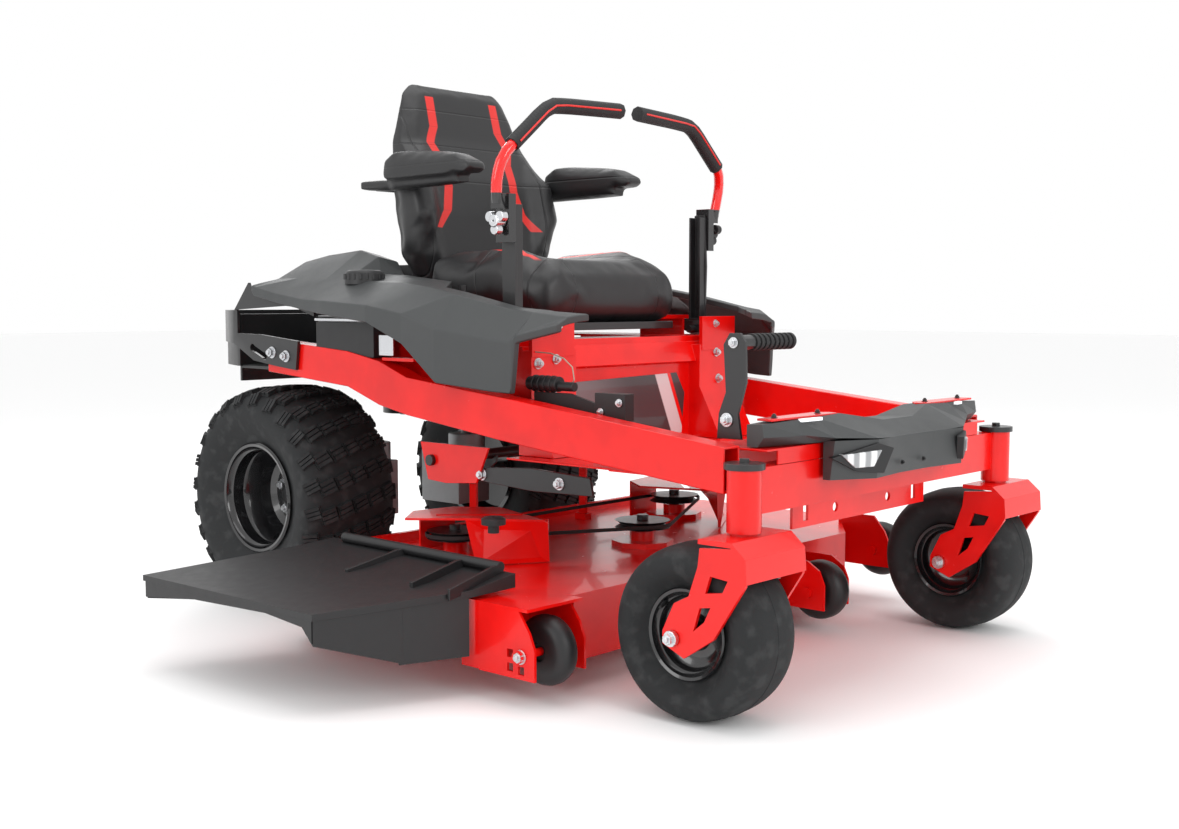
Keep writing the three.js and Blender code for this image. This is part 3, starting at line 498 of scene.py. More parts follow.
def hub_of(node):
    """The middle of a wheel."""
    low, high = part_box(node)
    return (low + high) / 2


def round_section(half, belly, crown, bead_half, bead, sharpness=3, points=22):
    """A tyre's section: a squared-off arch over the widest point, and sidewalls down to the beads."""
    section = []
    for i in range(points + 1):
        angle = math.pi * i / points
        across, height = math.cos(angle), math.sin(angle)
        along = -half * math.copysign(abs(across) ** (2 / sharpness), across)
        section.append((along, belly + (crown - belly) * abs(height) ** (2 / sharpness)))
    for share in (0.35, 0.7, 0.9):
        lean = math.sin(share * math.pi / 2) ** 2
        section.append((half + (bead_half - half) * lean, belly + (bead - belly) * share))
    section += [(bead_half, bead), (-bead_half, bead)]
    for share in (0.9, 0.7, 0.35):
        lean = math.sin(share * math.pi / 2) ** 2
        section.append((-half - (bead_half - half) * lean, belly + (bead - belly) * share))
    return section


caster_section = round_section(0.080, 0.122, 0.165, 0.050, 0.0845)
for side_name, side in SIDES.items():
    body = f"caster_{side_name}"
    wheel = f"caster_wheel_{side_name}"
    dressed(f"caster_fork_{side_name}", body, red_paint, 0.0018)
    dressed(f"kingpin_cap_{side_name}", body, black_coat, 0.0018)
    dressed(f"caster_axle_{side_name}", body, zinc, 0.0012)
    centre = hub_of(f"caster_tyre_{side_name}")
    low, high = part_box(f"caster_axle_{side_name}")
    bolts(
        f"caster_axle_nuts_{side_name}",
        body,
        [
            (Vector((high.x - 0.002, centre.y, centre.z)), LEFT, 1.35),
            (Vector((low.x + 0.002, centre.y, centre.z)), RIGHT, 1.35),
        ],
    )
    tyre = turned(caster_section, centre, ACROSS, 128)
    fit(tyre, f"caster_tyre_{side_name}_finished", wheel, rubber)
    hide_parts(f"caster_tyre_{side_name}")
    line = [(-0.0016, 0.1645), (0, 0.1658), (0.0016, 0.1645), (0, 0.160)]
    fit(turned(line, centre, ACROSS, 128), f"caster_mould_line_{side_name}", wheel, rubber)
    rim = turned(
        [
            (-0.057, 0.0875),
            (-0.060, 0.0845),
            (-0.058, 0.079),
            (-0.050, 0.0765),
            (-0.046, 0.071),
            (-0.034, 0.069),
            (-0.029, 0.064),
            (-0.024, 0.045),
            (-0.025, 0.036),
            (-0.034, 0.0315),
            (-0.078, 0.030),
            (-0.079, 0.022),
            (-0.074, 0.011),
            (0.074, 0.011),
            (0.079, 0.022),
            (0.078, 0.030),
            (0.034, 0.0315),
            (0.025, 0.036),
            (0.024, 0.045),
            (0.029, 0.064),
            (0.034, 0.069),
            (0.046, 0.071),
            (0.050, 0.0765),
            (0.058, 0.079),
            (0.060, 0.0845),
            (0.057, 0.0875),
            (0.050, 0.083),
            (-0.050, 0.083),
        ],
        centre,
        ACROSS,
    )
    fit(rim, f"caster_rim_{side_name}_finished", wheel, black_gloss)
    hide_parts(f"caster_rim_{side_name}")
    stem_foot = centre + Vector((side * 0.048, 0.052, 0.052))
    stem = bar(stem_foot, stem_foot + Vector((side * 0.026, -0.006, -0.006)), 0.004, 12, 0.003)
    fit(stem, f"caster_valve_{side_name}", wheel, rubber)

# ---------------------------------------------------------------- drive wheels
# Wide turf tyres: diagonal bands of siped blocks over a bulging carcass, on black deep-dish rims
# with five plated nuts.
TYRE_HALF = 0.140
TYRE_BELLY = 0.210
TYRE_CROWN = 0.279
LUG_TALL = 0.011
BANDS = 24
BAND_SLANT = 1.84  # how far a band runs round the tyre for each unit across it
BLOCK_SKEW = 0.35  # how far each block leans over with its band

carcass_section = round_section(
    TYRE_HALF - 0.004, TYRE_BELLY, TYRE_CROWN - LUG_TALL, 0.104, 0.1325, 3, 28
)


def siped_block(wide, long, tall):
    """A tread block: a foot with three ribs on it, parted by two sipes."""
    parts = [block(Vector((-wide / 2, -long / 2, -0.006)), Vector((wide / 2, long / 2, tall * 0.45)))]
    rib = long / 3
    for i in (-1, 0, 1):
        middle = Vector((0, i * rib, 0))
        low = middle + Vector((-wide * 0.44, -rib * 0.37, 0))
        high = middle + Vector((wide * 0.44, rib * 0.37, tall))
        parts.append(block(low, high))
    made = joined(parts)
    take(made)
    bpy.ops.object.transform_apply(location=True, rotation=True, scale=True)
    shape = made.data.copy()
    bpy.data.objects.remove(made)
    return shape


def crown_at(offset):
    """Radius and outward direction of the tread that far from the tyre's middle."""
    tall = TYRE_CROWN - TYRE_BELLY
    rise = (1 - abs(offset / TYRE_HALF) ** 3) ** (1 / 3)
    slope = Vector((math.copysign(offset**2, offset) / TYRE_HALF**3, rise**2 / tall, 0)).normalized()
    return TYRE_BELLY + tall * rise, slope


block_shape = siped_block(0.042, 0.036, LUG_TALL)
shoulder_shape = siped_block(0.040, 0.030, LUG_TALL)
ROWS = [
    (-0.092, block_shape),
    (-0.046, block_shape),
    (0, block_shape),
    (0.046, block_shape),
    (0.092, block_shape),
]
ROWS += [(-0.1285, shoulder_shape), (0.1285, shoulder_shape)]


def tread(centre, side):
    """Every block of a tyre, in bands that slant towards the machine's front."""
    copies = []
    for band in range(BANDS):
        for offset, shape in ROWS:
            radius, lean = crown_at(offset)
            turn = 2 * math.pi * band / BANDS + side * BAND_SLANT * offset / TYRE_CROWN
            outward = Vector((lean.x, lean.y * math.cos(turn), lean.y * math.sin(turn)))
            around = Vector((0, -math.sin(turn), math.cos(turn)))
            over = around.cross(outward)
            skew = (around + over * BLOCK_SKEW * side).normalized()
            frame_of = Matrix((skew.cross(outward) * -1, skew, outward)).transposed().to_4x4()
            spot = Vector((offset, radius * math.cos(turn), radius * math.sin(turn)))
            piece = bpy.data.objects.new("block", shape.copy())
            bpy.context.collection.objects.link(piece)
            sunk = centre + spot - outward * LUG_TALL
            piece.data.transform(Matrix.Translation(sunk) @ frame_of)
            copies.append(piece)
    made = joined(copies)
    edit(made)
    bpy.ops.mesh.normals_make_consistent(inside=False)
    free()
    return made


for side_name, side in SIDES.items():
    wheel = f"drive_wheel_{side_name}"
    centre = hub_of(f"rear_tyre_{side_name}")
    tyre = turned(carcass_section, centre, ACROSS, 128)
    fit(tyre, f"rear_tyre_{side_name}_finished", wheel, rubber)
    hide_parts(f"rear_tyre_{side_name}")
    blocks = tread(centre, side)
    fit(blocks, f"rear_tread_{side_name}", wheel, rubber)
    rim = turned(
        [
            (0.112, 0.140),
            (0.116, 0.1355),
            (0.114, 0.129),
            (0.104, 0.126),
            (0.099, 0.1195),
            (0.070, 0.1175),
            (0.064, 0.1115),
            (0.020, 0.106),
            (0.000, 0.098),
            (-0.008, 0.080),
            (-0.004, 0.064),
            (-0.008, 0.044),
            (-0.008, 0.026),
            (-0.020, 0.026),
            (-0.020, 0.060),
            (-0.040, 0.112),
            (-0.090, 0.122),
            (-0.112, 0.128),
            (-0.112, 0.140),
            (-0.103, 0.132),
            (0.103, 0.132),
        ],
        centre,
        ACROSS * side,
        112,
    )
    fit(rim, f"rear_rim_{side_name}_finished", wheel, black_gloss)
    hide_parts(f"rear_rim_{side_name}")
    disc = centre + ACROSS * side * -0.006
    nut_ring = [
        Vector((0, math.cos(turn), math.sin(turn))) * 0.0525
        for turn in (math.radians(72 * i + 20) for i in range(5))
    ]
    bolts(f"wheel_nuts_{side_name}", wheel, [(disc + spot, ACROSS * side, 1.5) for spot in nut_ring])
    hub = turned(
        [(-0.012, 0.036), (0.014, 0.036), (0.020, 0.030), (0.024, 0.018), (0.024, 0.002), (-0.012, 0.002)],
        disc,
        ACROSS * side,
        40,
    )
    fit(hub, f"wheel_hub_{side_name}", wheel, black_coat)

# ---------------------------------------------------------------- fenders
# Two creased pods in dark grey moulded plastic, with a fine pebbled grain and soft edges.
grey_plastic = Finish("grey_moulded_plastic", (0.040, 0.043, 0.044), 0.5)
grey_plastic.shine(Roughness=0.42 + 0.14 * grey_plastic.noise(26, 3))
grey_plastic.relief(grey_plastic.cells(850), 0.0005, 0.35)
black_plastic = Finish("black_moulded_plastic", (0.010, 0.010, 0.011), 0.45)
black_plastic.shine(Roughness=0.4 + 0.14 * black_plastic.noise(40, 3))
black_plastic.relief(black_plastic.cells(700), 0.0004, 0.3)
CREASE = math.radians(9)  # the moulded panels meet at soft creases


def on_top(piece, x, y):
    """The highest place on a piece over that spot."""
    graph = bpy.context.evaluated_depsgraph_get()
    return piece.ray_cast(at(x, y, 3), -UP, depsgraph=graph)[1]


for side_name, side in SIDES.items():
    fender = dressed(f"fender_{side_name}", "frame", grey_plastic, 0.005, sharp=CREASE)
    seat_of_cap = on_top(fender, side * 0.41, 1.17)
    cap = turned(
        [(-0.012, 0.046), (0.012, 0.046), (0.018, 0.043), (0.022, 0.036), (0.023, 0.004), (-0.012, 0.004)],
        seat_of_cap,
        UP,
        48,
    )
    ribs = [cap]
    for i in range(18):
        turn = 2 * math.pi * i / 18
        spot = seat_of_cap + Vector((math.cos(turn), math.sin(turn), 0)) * 0.0455
        ribs.append(bar(spot, spot + UP * 0.013, 0.0035, 8))
    fit(joined(ribs), f"fuel_cap_{side_name}", "frame", black_plastic)

# ---------------------------------------------------------------- light bar
# A grey plastic cowl over the front beam with two slanting lamps, red cover plates and lit strips.
dressed("headlight_bar", "frame", grey_plastic, 0.003, sharp=CREASE)
# The lamp glass is painted opaque, and its flutes are painted as bright and dark bands: painted reflection
# of the lamp's light, not a colour of the glass.
lens = Finish("lamp_lens", (0.62, 0.64, 0.66), 0.12, **{"Coat Weight": 1.0})
flute_highlight_phase = lens.axis("X") * 260
lens.shine(
    Base_Color=lens.mix(
        flute_highlight_phase.maths("SINE", flute_highlight_phase).above(0.0, 0.6),
        (0.30, 0.31, 0.32),
        (0.8, 0.81, 0.82),
    ),
)
strip_light = Finish("light_strip", (0.85, 0.87, 0.9), 0.2, **{"Emission Strength": 0.5})
strip_light.shine(
    Emission_Color=strip_light.mix(
        strip_light.noise(80).above(0.5, 0.3),
        (0.7, 0.72, 0.75),
        (1, 1, 1),
    ),
)


def nose_normal(corners):
    """The way a flat outline faces, pointing ahead of the machine."""
    across = (corners[1] - corners[0]).cross(corners[2] - corners[0]).normalized()
    return across if across.y < 0 else -across


BEZEL = [
    (0.177, -0.082, 0.500),
    (0.142, -0.096, 0.489),
    (0.160, -0.085, 0.440),
    (0.219, -0.060, 0.446),
    (0.272, -0.036, 0.474),
]
BAFFLE = [(0.225, -0.052, 0.467), (0.183, -0.076, 0.466), (0.183, -0.077, 0.460), (0.225, -0.053, 0.461)]
STRIP = [(0.322, -0.004, 0.550), (0.272, -0.018, 0.5515), (0.272, -0.010, 0.5515), (0.322, 0.004, 0.550)]
COVER = [(0.400, 0.012), (0.180, 0.006), (0.172, 0.030), (0.200, 0.052), (0.395, 0.048)]
GLASS = [(0.171, -0.084, 0.487), (0.186, -0.075, 0.455), (0.226, -0.058, 0.454), (0.254, -0.045, 0.480)]
for side_name, side in SIDES.items():
    for name, outline, finish, slot, depth, back in (
        ("lamp_bezel", BEZEL, black_plastic, "moulded_plastic", 0.016, 0.010),
        ("lamp_glass", GLASS, lens, "moulded_plastic", 0.018, 0.008),
    ):
        corners = [at(side * x, y, z) for x, y, z in outline]
        facing = nose_normal(corners)
        piece = plate([corner - facing * back for corner in corners], facing * depth)
        round_off(piece, 0.002)
        fit(piece, f"{name}_{side_name}", "frame", finish)
    stripe = [at(side * x, y, z) for x, y, z in BAFFLE]
    fit(
        plate(stripe, Vector((0, -0.006, 0.001))),
        f"lamp_baffle_{side_name}",
        "frame",
        black_plastic,
    )
    corners = [at(side * x, y, z) for x, y, z in STRIP]
    fit(plate(corners, UP * -0.006), f"light_strip_{side_name}", "frame", strip_light)
    cover = plate([at(side * x, y, 0.5485) for x, y in COVER], UP * 0.0045)
    round_off(cover, 0.0012)
    fit(cover, f"light_bar_plate_{side_name}", "frame", red_paint)
bolts(
    "light_bar_screws",
    "frame",
    [(at(side * x, 0.030, 0.5525), UP, 0.7) for side in SIDES.values() for x in (0.215, 0.365)]
    + [(at(x, -0.0745, 0.452), FORWARD, 0.55) for x in (-0.067, 0.019)],
    black_coat,
)

# ---------------------------------------------------------------- seat tower details
# A printed panel on the tower's face, and the cutting-height selector with its pin's lanyard.
PANEL_FACE = 0.690
panel = Finish("printed_panel", (0.05, 0.05, 0.055), 0.3, **{"Coat Weight": 0.4})
SLANT = 0.45
stripe_foot = at(0.145, 0, 0.52)
past_stripe = panel.axis("X") + SLANT * panel.axis("Z") - (stripe_foot.x + SLANT * stripe_foot.z)
shade = panel.mix(past_stripe.above(-0.22, 0.12), (0.20, 0.205, 0.215), (0.045, 0.046, 0.05))
band = past_stripe.above(-0.02, 0.002) * (1 - past_stripe.above(0.028, 0.002))
edge = past_stripe.above(0.028, 0.002) * (1 - past_stripe.above(0.040, 0.002))
panel.shine(Base_Color=panel.mix(edge, panel.mix(band, shade, (0.7, 0.7, 0.71)), RED))
outline = [(-0.225, 0.587), (0.176, 0.596), (0.208, 0.545), (0.197, 0.446), (-0.225, 0.446)]
decal = plate([at(x, PANEL_FACE + 0.002, z) for x, z in outline], FORWARD * 0.004)
fit(decal, "tower_panel", "frame", panel)

SELECTOR_ARM = [
    (0.439, 0.536),
    (0.440, 0.560),
    (0.520, 0.579),
    (0.624, 0.579),
    (0.624, 0.545),
    (0.520, 0.534),
]
SELECTOR_X = -0.395
KNOB_Z = 0.597
selector = [
    bar(at(SELECTOR_X, 0.551, KNOB_Z), at(SELECTOR_X, 0.639, KNOB_Z), 0.0165, 40, 0.0145),
    bar(at(SELECTOR_X, 0.508, 0.593), at(SELECTOR_X, 0.551, 0.593), 0.010, 32),
    plate([at(-0.398, y, z) for y, z in SELECTOR_ARM], ACROSS * 0.008),
    block(at(-0.402, 0.366, 0.528), at(-0.372, 0.447, 0.584)),
    block(at(-0.398, 0.600, 0.536), at(-0.372, 0.700, 0.560)),
]
for i in range(4):
    y = 0.566 + 0.017 * i
    selector.append(bar(at(SELECTOR_X, y, KNOB_Z), at(SELECTOR_X, y + 0.006, KNOB_Z), 0.0180, 40))
made = joined(selector)
round_off(made, 0.0012)
fit(made, "height_selector", "frame", black_plastic)
bolts(
    "selector_bolts",
    "frame",
    [(at(-0.403, y, z), RIGHT, 0.8) for y, z in ((0.380, 0.566), (0.430, 0.545))],
)

LOOP = [
    (0.700, 0.650),
    (0.655, 0.662),
    (0.608, 0.660),
    (0.570, 0.650),
    (0.545, 0.632),
    (0.540, 0.605),
    (0.556, 0.586),
    (0.600, 0.583),
    (0.683, 0.589),
    (0.700, 0.592),
]
tan = Finish("lanyard_coat", (0.42, 0.36, 0.28), 0.5)
tan.shine(Roughness=0.45 + 0.1 * tan.noise(300))


def strand(points, radius):
    """A thin round line through these points, with a ball at every bend."""
    parts = []
    for start, end in zip(points, points[1:]):
        parts.append(bar(start, end, radius, 12))
        free()
        bpy.ops.mesh.primitive_uv_sphere_add(segments=12, ring_count=8, radius=radius, location=end)
        parts.append(bpy.context.object)
    return joined(parts)


fit(strand([at(-0.362, y, z) for y, z in LOOP], 0.0013), "pin_lanyard", "frame", tan)

# ---------------------------------------------------------------- engine and drive
# A horizontal twin on its plate: finned block, black fan shroud with a slotted screen, muffler,
# and a hydrostatic transaxle on each side.
dressed("engine_plate", "frame", black_coat, 0.0012)
cast = Finish("cast_aluminium", (0.30, 0.305, 0.31), 0.5, Metallic=0.7)
cast.shine(Roughness=0.42 + 0.2 * cast.noise(70, 4))
cast.relief(cast.noise(300, 4), 0.0008, 0.5)
dressed("engine_block", "frame", cast, 0.0015)
low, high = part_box("engine_block")
FINS = 9
FIN_PROUD = Vector((0.004, 0, 0))
fins = []
for i in range(FINS):
    z = low.z + 0.018 + i * (high.z - low.z - 0.030) / FINS
    for y in (low.y + 0.02, high.y - 0.10):
        start = Vector((low.x, y, z)) - FIN_PROUD
        end = Vector((high.x, y + 0.08, z + 0.004)) + FIN_PROUD
        fins.append(block(start, end))
made = joined(fins)
round_off(made, 0.0008, 1)
fit(made, "cooling_fins", "frame", cast)

dressed("engine_cover", "frame", black_plastic, 0.004)
screen = []
COVER_TOP = at(0, 1.5, 0.8435)
SCREEN_IN, SCREEN_OUT, RING_WIDE, RING_TALL = 0.030, 0.140, 0.008, 0.004
for i in range(5):
    ring = SCREEN_IN + 0.026 * i
    profile = [(0, ring), (RING_TALL, ring), (RING_TALL, ring + RING_WIDE), (0, ring + RING_WIDE)]
    screen.append(turned(profile, COVER_TOP, UP, 64))
spoke_foot = COVER_TOP + UP * RING_TALL / 2
for i in range(12):
    turn = math.radians(30 * i)
    reach = Vector((math.cos(turn), math.sin(turn), 0))
    screen.append(bar(spoke_foot + reach * SCREEN_IN, spoke_foot + reach * SCREEN_OUT, 0.0022, 8))
fit(joined(screen), "fan_screen", "frame", black_coat)

scorched = Finish("muffler_steel", (0.20, 0.19, 0.18), 0.5, Metallic=0.8)
heat = scorched.noise(14, 4)
scorched.shine(Base_Color=scorched.mix(heat.above(0.5, 0.15), (0.22, 0.21, 0.20), (0.17, 0.12, 0.09)))
scorched.shine(Roughness=0.42 + 0.2 * heat)
dressed("muffler", "frame", scorched, 0.002)
for side_name in SIDES:
    dressed(f"transaxle_{side_name}", "frame", cast, 0.003)
dressed("engine_pulley", "clutch_pulley", black_coat, 0.001)

fender_gap = [
    (
        "battery_box",
        block(at(-0.455, 1.085, 0.640), at(-0.400, 1.300, 0.722)),
        black_plastic,
        "moulded_plastic",
    ),
    ("seat_slide", block(at(-0.460, 1.080, 0.724), at(-0.440, 1.300, 0.731)), zinc, "bare_steel"),
    ("valve_plate", block(at(-0.452, 1.020, 0.646), at(-0.447, 1.070, 0.694)), zinc, "bare_steel"),
    ("tank_bracket", block(at(-0.452, 0.950, 0.634), at(-0.385, 1.060, 0.642)), red_paint, "frame_paint"),
]
for name, piece, finish, slot in fender_gap:
    round_off(piece, 0.0015)
    fit(piece, name, "frame", finish)

# ---------------------------------------------------------------- linkage under the rails
# A black link hangs on a red bracket under each rail, held by plated bolts. Their outlines are
# (distance behind the kingpins, height).
LIFT_BRACKET = [(0.760, 0.448), (0.985, 0.448), (0.960, 0.362), (0.900, 0.358), (0.800, 0.366)]
LIFT_LINK = [(0.462, 0.366), (0.470, 0.404), (0.640, 0.412), (0.822, 0.400), (0.822, 0.372), (0.640, 0.362)]
for side_name, side in SIDES.items():
    bracket = plate([at(side * 0.402, y, z) for y, z in LIFT_BRACKET], ACROSS * side * -0.006)
    round_off(bracket, 0.0012)
    fit(bracket, f"lift_bracket_{side_name}", "frame", red_paint)
    arm = plate([at(side * 0.392, y, z) for y, z in LIFT_LINK], ACROSS * side * -0.008)
    round_off(arm, 0.0015)
    fit(arm, f"lift_link_{side_name}", "frame", black_coat)
bolts(
    "lift_link_bolts",
    "frame",
    [
        (at(side * 0.392, y, z), ACROSS * side, 1.3)
        for side in SIDES.values()
        for y, z in ((0.555, 0.385), (0.790, 0.386))
    ],
)

# ---------------------------------------------------------------- cutter deck
# Red stamped shell with welded brackets, belt covers, spindles, belt and anti-scalp wheels.
BRACKET_HOLES = [(0.398, 0.105), (0.398, 0.078), (0.369, 0.075)]
HALF_HOLE = Vector((0.012, 0.008, 0.008))
windows = []
for y, z in BRACKET_HOLES:
    middle = at(-0.700, y, z)
    windows.append(block(middle - HALF_HOLE, middle + HALF_HOLE))
dressed("deck_shell", "deck", red_paint, 0.0022, windows)
for side_name in SIDES:
    dressed(f"belt_cover_{side_name}", "deck", red_paint, 0.0022)
bolts("gauge_wheel_bolt_right", "deck", [(at(-0.7005, 0.369, 0.102), RIGHT, 1.35)])
bolts("gauge_wheel_bolt_left", "deck", [(at(0.7005, 0.378, 0.132), LEFT, 1.35)])
belt_rubber = Finish("belt_rubber", (0.013, 0.013, 0.014), 0.75)
belt_rubber.shine(Roughness=0.68 + 0.15 * belt_rubber.noise(200, 3))
belt_rubber.relief(belt_rubber.noise(500, 2), 0.0004, 0.4)
belt = copied("deck_belt", whole=False)
take(belt)
bpy.ops.object.shade_smooth_by_angle(angle=EDGE)
fit(belt, "deck_belt_finished", "deck", belt_rubber)
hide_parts("deck_belt")
for place in ("right", "center", "left"):
    dressed(f"spindle_{place}", f"spindle_{place}", black_coat, 0.0008)
    centre = hub_of(f"deck_wheel_{place}")
    low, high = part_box(f"deck_wheel_{place}")
    half = (high.x - low.x) / 2 - 0.003  # clear of the bracket's cheeks
    rolled = [
        (-half, 0.020),
        (-half, 0.046),
        (-half + 0.004, 0.058),
        (-half + 0.012, 0.066),
        (-half + 0.022, 0.069),
        (half - 0.022, 0.069),
        (half - 0.012, 0.066),
        (half - 0.004, 0.058),
        (half, 0.046),
        (half, 0.020),
        (half - 0.010, 0.018),
        (half - 0.010, 0.008),
        (-half + 0.010, 0.008),
        (-half + 0.010, 0.018),
    ]
    wheel = turned(rolled, centre, ACROSS, 72)
    fit(wheel, f"deck_wheel_{place}_finished", f"deck_wheel_{place}", black_plastic)
    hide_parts(f"deck_wheel_{place}")
knob_places = [(-0.505, 0.640), (0.520, 0.700)]
for number, (x, y) in enumerate(knob_places):
    foot = at(x, y, 0.289)
    lobed = turned(
        [
            (-0.004, 0.012),
            (0.012, 0.012),
            (0.014, 0.026),
            (0.026, 0.026),
            (0.030, 0.020),
            (0.030, 0.004),
            (-0.004, 0.004),
        ],
        foot,
        UP,
        24,
    )
    fit(lobed, f"cover_knob_{number}", "deck", black_plastic)

# ---------------------------------------------------------------- discharge chute
# A black moulded wing with stiffening ribs and a round bead along its hinge.
dressed("discharge_chute", "chute", black_plastic, 0.003)
RIB_SIDE = [(-0.614, 0.225), (-0.614, 0.252), (-0.645, 0.250), (-0.760, 0.222), (-0.760, 0.200)]
ribs = []
for foot, lean in ((0.600, 0.01), (0.780, 0.04)):
    corners = [at(x, foot - lean * (x + 0.614) / 0.2, z) for x, z in RIB_SIDE]
    ribs.append(plate(corners, BACK * 0.009))
ribs.append(plate([at(x, 0.500, z) for x, z in RIB_SIDE], BACK * 0.007))
ribs.append(bar(at(-0.622, 0.500, 0.246), at(-0.622, 0.990, 0.252), 0.011, 32))
made = joined(ribs)
round_off(made, 0.0015)
fit(made, "chute_ribs", "chute", black_plastic)

# ---------------------------------------------------------------- deck lift and pedal
# Black steel pedal with a ribbed peg, and the shaft across the frame that it turns.
dressed("lift_pedal", "lift_pedal", black_coat, 0.0015)
dressed("lift_shaft", "lift_shaft", black_coat, 0.0012)
grip = Finish("grip_rubber", (0.014, 0.014, 0.015), 0.7)
grip.shine(Roughness=0.62 + 0.16 * grip.noise(160, 3))
RIB_PITCH = 0.007
phase = grip.axis("X") * (2 * math.pi / RIB_PITCH)
ridges = phase.maths("SINE", phase)
grip.relief(0.4 * grip.noise(420, 3) + 0.5 * ridges, 0.0006, 0.5)
RIB_STEP = 0.0155
RIB_WIDE = 0.009
peg = []
for i in range(9):
    start = at(-0.360 + RIB_STEP * i, 0.088, 0.694)
    peg.append(bar(start, start + ACROSS * RIB_WIDE, 0.0165, 32))
made = joined(peg)
round_off(made, 0.0015)
fit(made, "pedal_peg_ribs", "lift_pedal", grip)
bolts(
    "pedal_bolts",
    "lift_pedal",
    [(at(-0.4125, 0.104, 0.548), RIGHT, 1.3), (at(-0.4125, 0.090, 0.694), RIGHT, 1.0)],
)

# ---------------------------------------------------------------- steering controls
# Bent red tubes with rubber grips above, on black arms that swing out on hubs beside the seat.
tube_red = Finish("tube_red_enamel", RED, 0.2, **{"Coat Weight": 0.6})
tube_red.shine(Roughness=0.16 + 0.1 * tube_red.noise(30, 3))
tube_red.relief(tube_red.noise(300, 1), 0.0002, 0.2)
CLAMP_TOP = 1.006
above_clamp = tube_red.axis("Z").above(CLAMP_TOP, 0.001)
tube_red.shine(Base_Color=tube_red.mix(above_clamp, (0.012, 0.012, 0.013), RED))
for side_name, side in SIDES.items():
    bar_body = f"lap_bar_{side_name}"
    dressed(f"control_hub_{side_name}", f"lap_control_{side_name}", black_coat, 0.0015)
    dressed(f"lap_arm_{side_name}", bar_body, black_coat, 0.0018)
    for node, finish, slot in (
        (f"lap_tube_{side_name}", tube_red, "handle_paint"),
        (f"lap_grip_{side_name}", grip, "grip_rubber"),
    ):
        piece = copied(node)
        take(piece)
        bpy.ops.object.shade_smooth_by_angle(angle=math.radians(50))
        fit(piece, f"{node}_finished", bar_body, finish)
        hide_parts(node)
    knob_low, knob_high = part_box(f"adjust_knob_{side_name}")
    centre = (knob_low + knob_high) / 2
    lobes = [
        turned(
            [(-0.012, 0.015), (0.013, 0.015), (0.015, 0.012), (0.015, 0.002), (-0.012, 0.002)],
            centre,
            ACROSS * side,
            40,
        ),
    ]
    for i in range(3):
        turn = math.radians(120 * i + 30)
        reach = Vector((0, math.cos(turn), math.sin(turn)))
        lobe = bar(centre - ACROSS * side * 0.005, centre + ACROSS * side * 0.012, 0.0125, 32, 0.0115)
        lobe.location += reach * 0.0185
        lobes.append(lobe)
        web = bar(centre + reach * 0.002, centre + reach * 0.020, 0.009, 24, 0.011)
        lobes.append(web)
    knob = joined(lobes)
    round_off(knob, 0.002)
    finish, slot = (zinc, "zinc_bolt") if side_name == "right" else (black_plastic, "knob_plastic")
    fit(knob, f"adjust_knob_{side_name}_finished", bar_body, finish)
    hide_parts(f"adjust_knob_{side_name}")

# ---------------------------------------------------------------- hand controls
# Engine throttle with a soft boot, and the red blade switch, on the shelf beside the seat.
dressed("throttle_lever", "throttle", black_plastic, 0.0015)
boot = []
for i in range(4):
    boot.append(
        turned(
            [(-0.001, 0.005), (0, 0.017 - 0.003 * i), (0.0045, 0.015 - 0.003 * i), (0.0045, 0.004)],
            at(-0.300, 0.940, 0.7375 + 0.0045 * i),
            UP,
            32,
        ),
    )
fit(joined(boot), "throttle_boot", "frame", grip)
switch_red = Finish("switch_red", (0.62, 0.01, 0.01), 0.35)
switch_red.shine(Roughness=0.3 + 0.12 * switch_red.noise(60, 2))
dressed("pto_knob", "pto_switch", switch_red, 0.002)

# ---------------------------------------------------------------- grip inlays
# A thin red line is let into the front of each steering grip.
GRIP_LINE = [
    (0.362, 0.7140, 1.1165),
    (0.310, 0.7120, 1.1600),
    (0.276, 0.7110, 1.1880),
    (0.250, 0.7100, 1.2030),
    (0.215, 0.7090, 1.2070),
    (0.048, 0.6966, 1.2118),
]
INLAY_OUT = Vector((0, -0.0172, 0))
PRINT_RED = (0.70, 0.02, 0.015)
inlay_red = Finish("inlay_red", PRINT_RED, 0.4)
inlay_red.shine(Roughness=0.36 + 0.1 * inlay_red.noise(80))
for side_name, side in SIDES.items():
    inlay = strand([at(side * x, y, z) + INLAY_OUT for x, y, z in GRIP_LINE], 0.0022)
    fit(inlay, f"grip_inlay_{side_name}", f"lap_bar_{side_name}", inlay_red)

# ---------------------------------------------------------------- seat
# Padded vinyl, swollen by a cloth simulation, with sewn seams. Kinked red stripes run down the
# backrest and across the cushion's bolsters.
PRESSURE = 4.0
STRIPE = [
    (0.955, 0.172),
    (1.000, 0.132),
    (1.060, 0.116),
    (1.130, 0.118),
    (1.172, 0.138),
    (1.215, 0.114),
    (1.292, 0.112),
]
CHEVRON = [(0.775, 0.232), (0.800, 0.192), (1.080, 0.172)]
SEAM = 0.0016


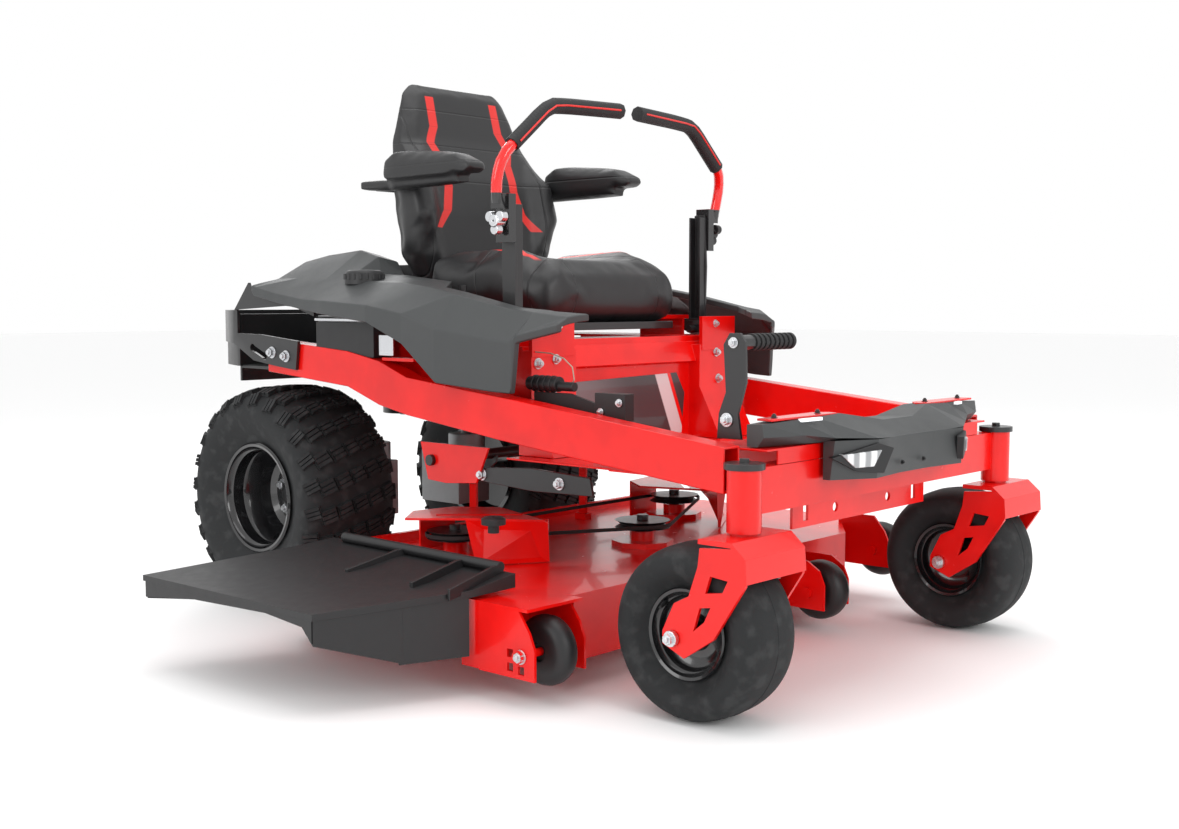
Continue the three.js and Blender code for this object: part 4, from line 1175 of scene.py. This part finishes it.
def swollen(node, name, shrink, cap, voxel):
    """A padded copy of a CAD pad: pulled in a little, blown up as cloth, and softened."""
    piece = copied(node)
    modify(piece, "BEVEL", width=0.014, segments=3, limit_method="ANGLE", angle_limit=math.radians(18))
    modify(piece, "REMESH", mode="VOXEL", voxel_size=voxel)
    modify(piece, "SMOOTH", factor=0.5, iterations=4)
    modify(piece, "DISPLACE", strength=-shrink, mid_level=0.0)
    rest = [vertex.co.copy() for vertex in piece.data.vertices]
    take(piece)
    cloth = piece.modifiers.new("cloth", "CLOTH")
    cloth.settings.use_pressure = True
    cloth.settings.uniform_pressure_force = PRESSURE
    cloth.settings.effector_weights.gravity = 0
    cloth.settings.quality = 4
    for number in range(1, 21):
        bpy.context.scene.frame_set(number)
    bpy.ops.object.modifier_apply(modifier=cloth.name)
    bpy.context.scene.frame_set(1)
    for vertex, start in zip(piece.data.vertices, rest):
        moved = vertex.co - start
        if moved.length > cap:
            vertex.co = start + moved * (cap / moved.length)
    modify(piece, "SMOOTH", factor=0.5, iterations=14)
    modify(piece, "SUBSURF", levels=1, render_levels=1)
    take(piece)
    bpy.ops.object.shade_smooth()
    piece.name = name
    return piece


VINYL = (0.014, 0.014, 0.015)


def vinyl(name):
    """Black vinyl with worn shine."""
    made = Finish(name, VINYL, 0.42)
    made.shine(Roughness=0.36 + 0.14 * made.noise(35, 3))
    return made


def from_middle(finish):
    """The distance from the middle of the machine, the same on both sides."""
    offset = finish.axis("X") - datum.x
    return offset.maths("ABSOLUTE", offset)


def between(value, low, high, soft=0.0015):
    """A mask that is 1 from low to high."""
    return value.above(low, soft) * (1 - value.above(high, soft))


def stitch(finish, seams):
    """Leather grain, with the seams pulled down into it."""
    grain = 0.25 * finish.cells(420)
    for value, place in seams:
        grain = grain - 3.0 * between(value, place - SEAM, place + SEAM, SEAM)
    finish.relief(grain, 0.0009, 0.6)


def kinked(finish, across, up, path, half):
    """A stripe of that half width along a kinked path of (up, across) points."""
    mask = None
    for (z0, x0), (z1, x1) in zip(path, path[1:]):
        line = (up - z0) * ((x1 - x0) / (z1 - z0)) + x0
        part = between(across - line, -half, half) * between(up, z0, z1, 0.0008)
        mask = part if mask is None else mask.maths("MAXIMUM", mask, part)
    return mask


black_vinyl = vinyl("black_vinyl")
stitch(black_vinyl, [(black_vinyl.axis("Z"), 1.094)])
back_vinyl = vinyl("striped_vinyl")
across = from_middle(back_vinyl)
up = back_vinyl.axis("Z")
LEAN = 0.227  # the middle of the backrest moves back by this much for each unit up
front_only = 1 - (back_vinyl.axis("Y") - (up * LEAN) - (datum.y + 1.009)).above(0.0, 0.004)
stripe = kinked(back_vinyl, across, up, STRIPE, 0.014) * front_only
stitch(back_vinyl, [(across, 0.196), (up, 1.255), (up, 1.165), (up, 1.075)])
back_vinyl.shine(Base_Color=back_vinyl.mix(stripe, VINYL, PRINT_RED))

cushion_vinyl = vinyl("cushion_vinyl")
across = from_middle(cushion_vinyl)
forward = cushion_vinyl.axis("Y") - datum.y
stripe = kinked(cushion_vinyl, across, forward, CHEVRON, 0.005)
stitch(cushion_vinyl, [(across, 0.150), (forward, 0.792), (forward, 0.960)])
top_only = cushion_vinyl.axis("Z").above(0.868, 0.004)
cushion_vinyl.shine(Base_Color=cushion_vinyl.mix(stripe * top_only, VINYL, PRINT_RED))

for node, finish, cap in (
    ("seat_cushion", cushion_vinyl, 0.012),
    ("seat_back", back_vinyl, 0.010),
):
    pad = swollen(node, f"{node}_pad", 0.007, cap, 0.006)
    fit(pad, f"{node}_pad", "seat", finish)
    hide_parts(node)
for side_name, side in SIDES.items():
    node = f"armrest_{side_name}"
    pad = swollen(node, f"{node}_pad", 0.002, 0.005, 0.004)
    fit(pad, f"{node}_pad", node, black_vinyl)
    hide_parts(node)
dressed("seat_pan", "seat", black_coat, 0.002)

# ---------------------------------------------------------------- finish
corners = {"cad": [list(c) for c in cad_box], "visual": [list(c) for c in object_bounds()]}
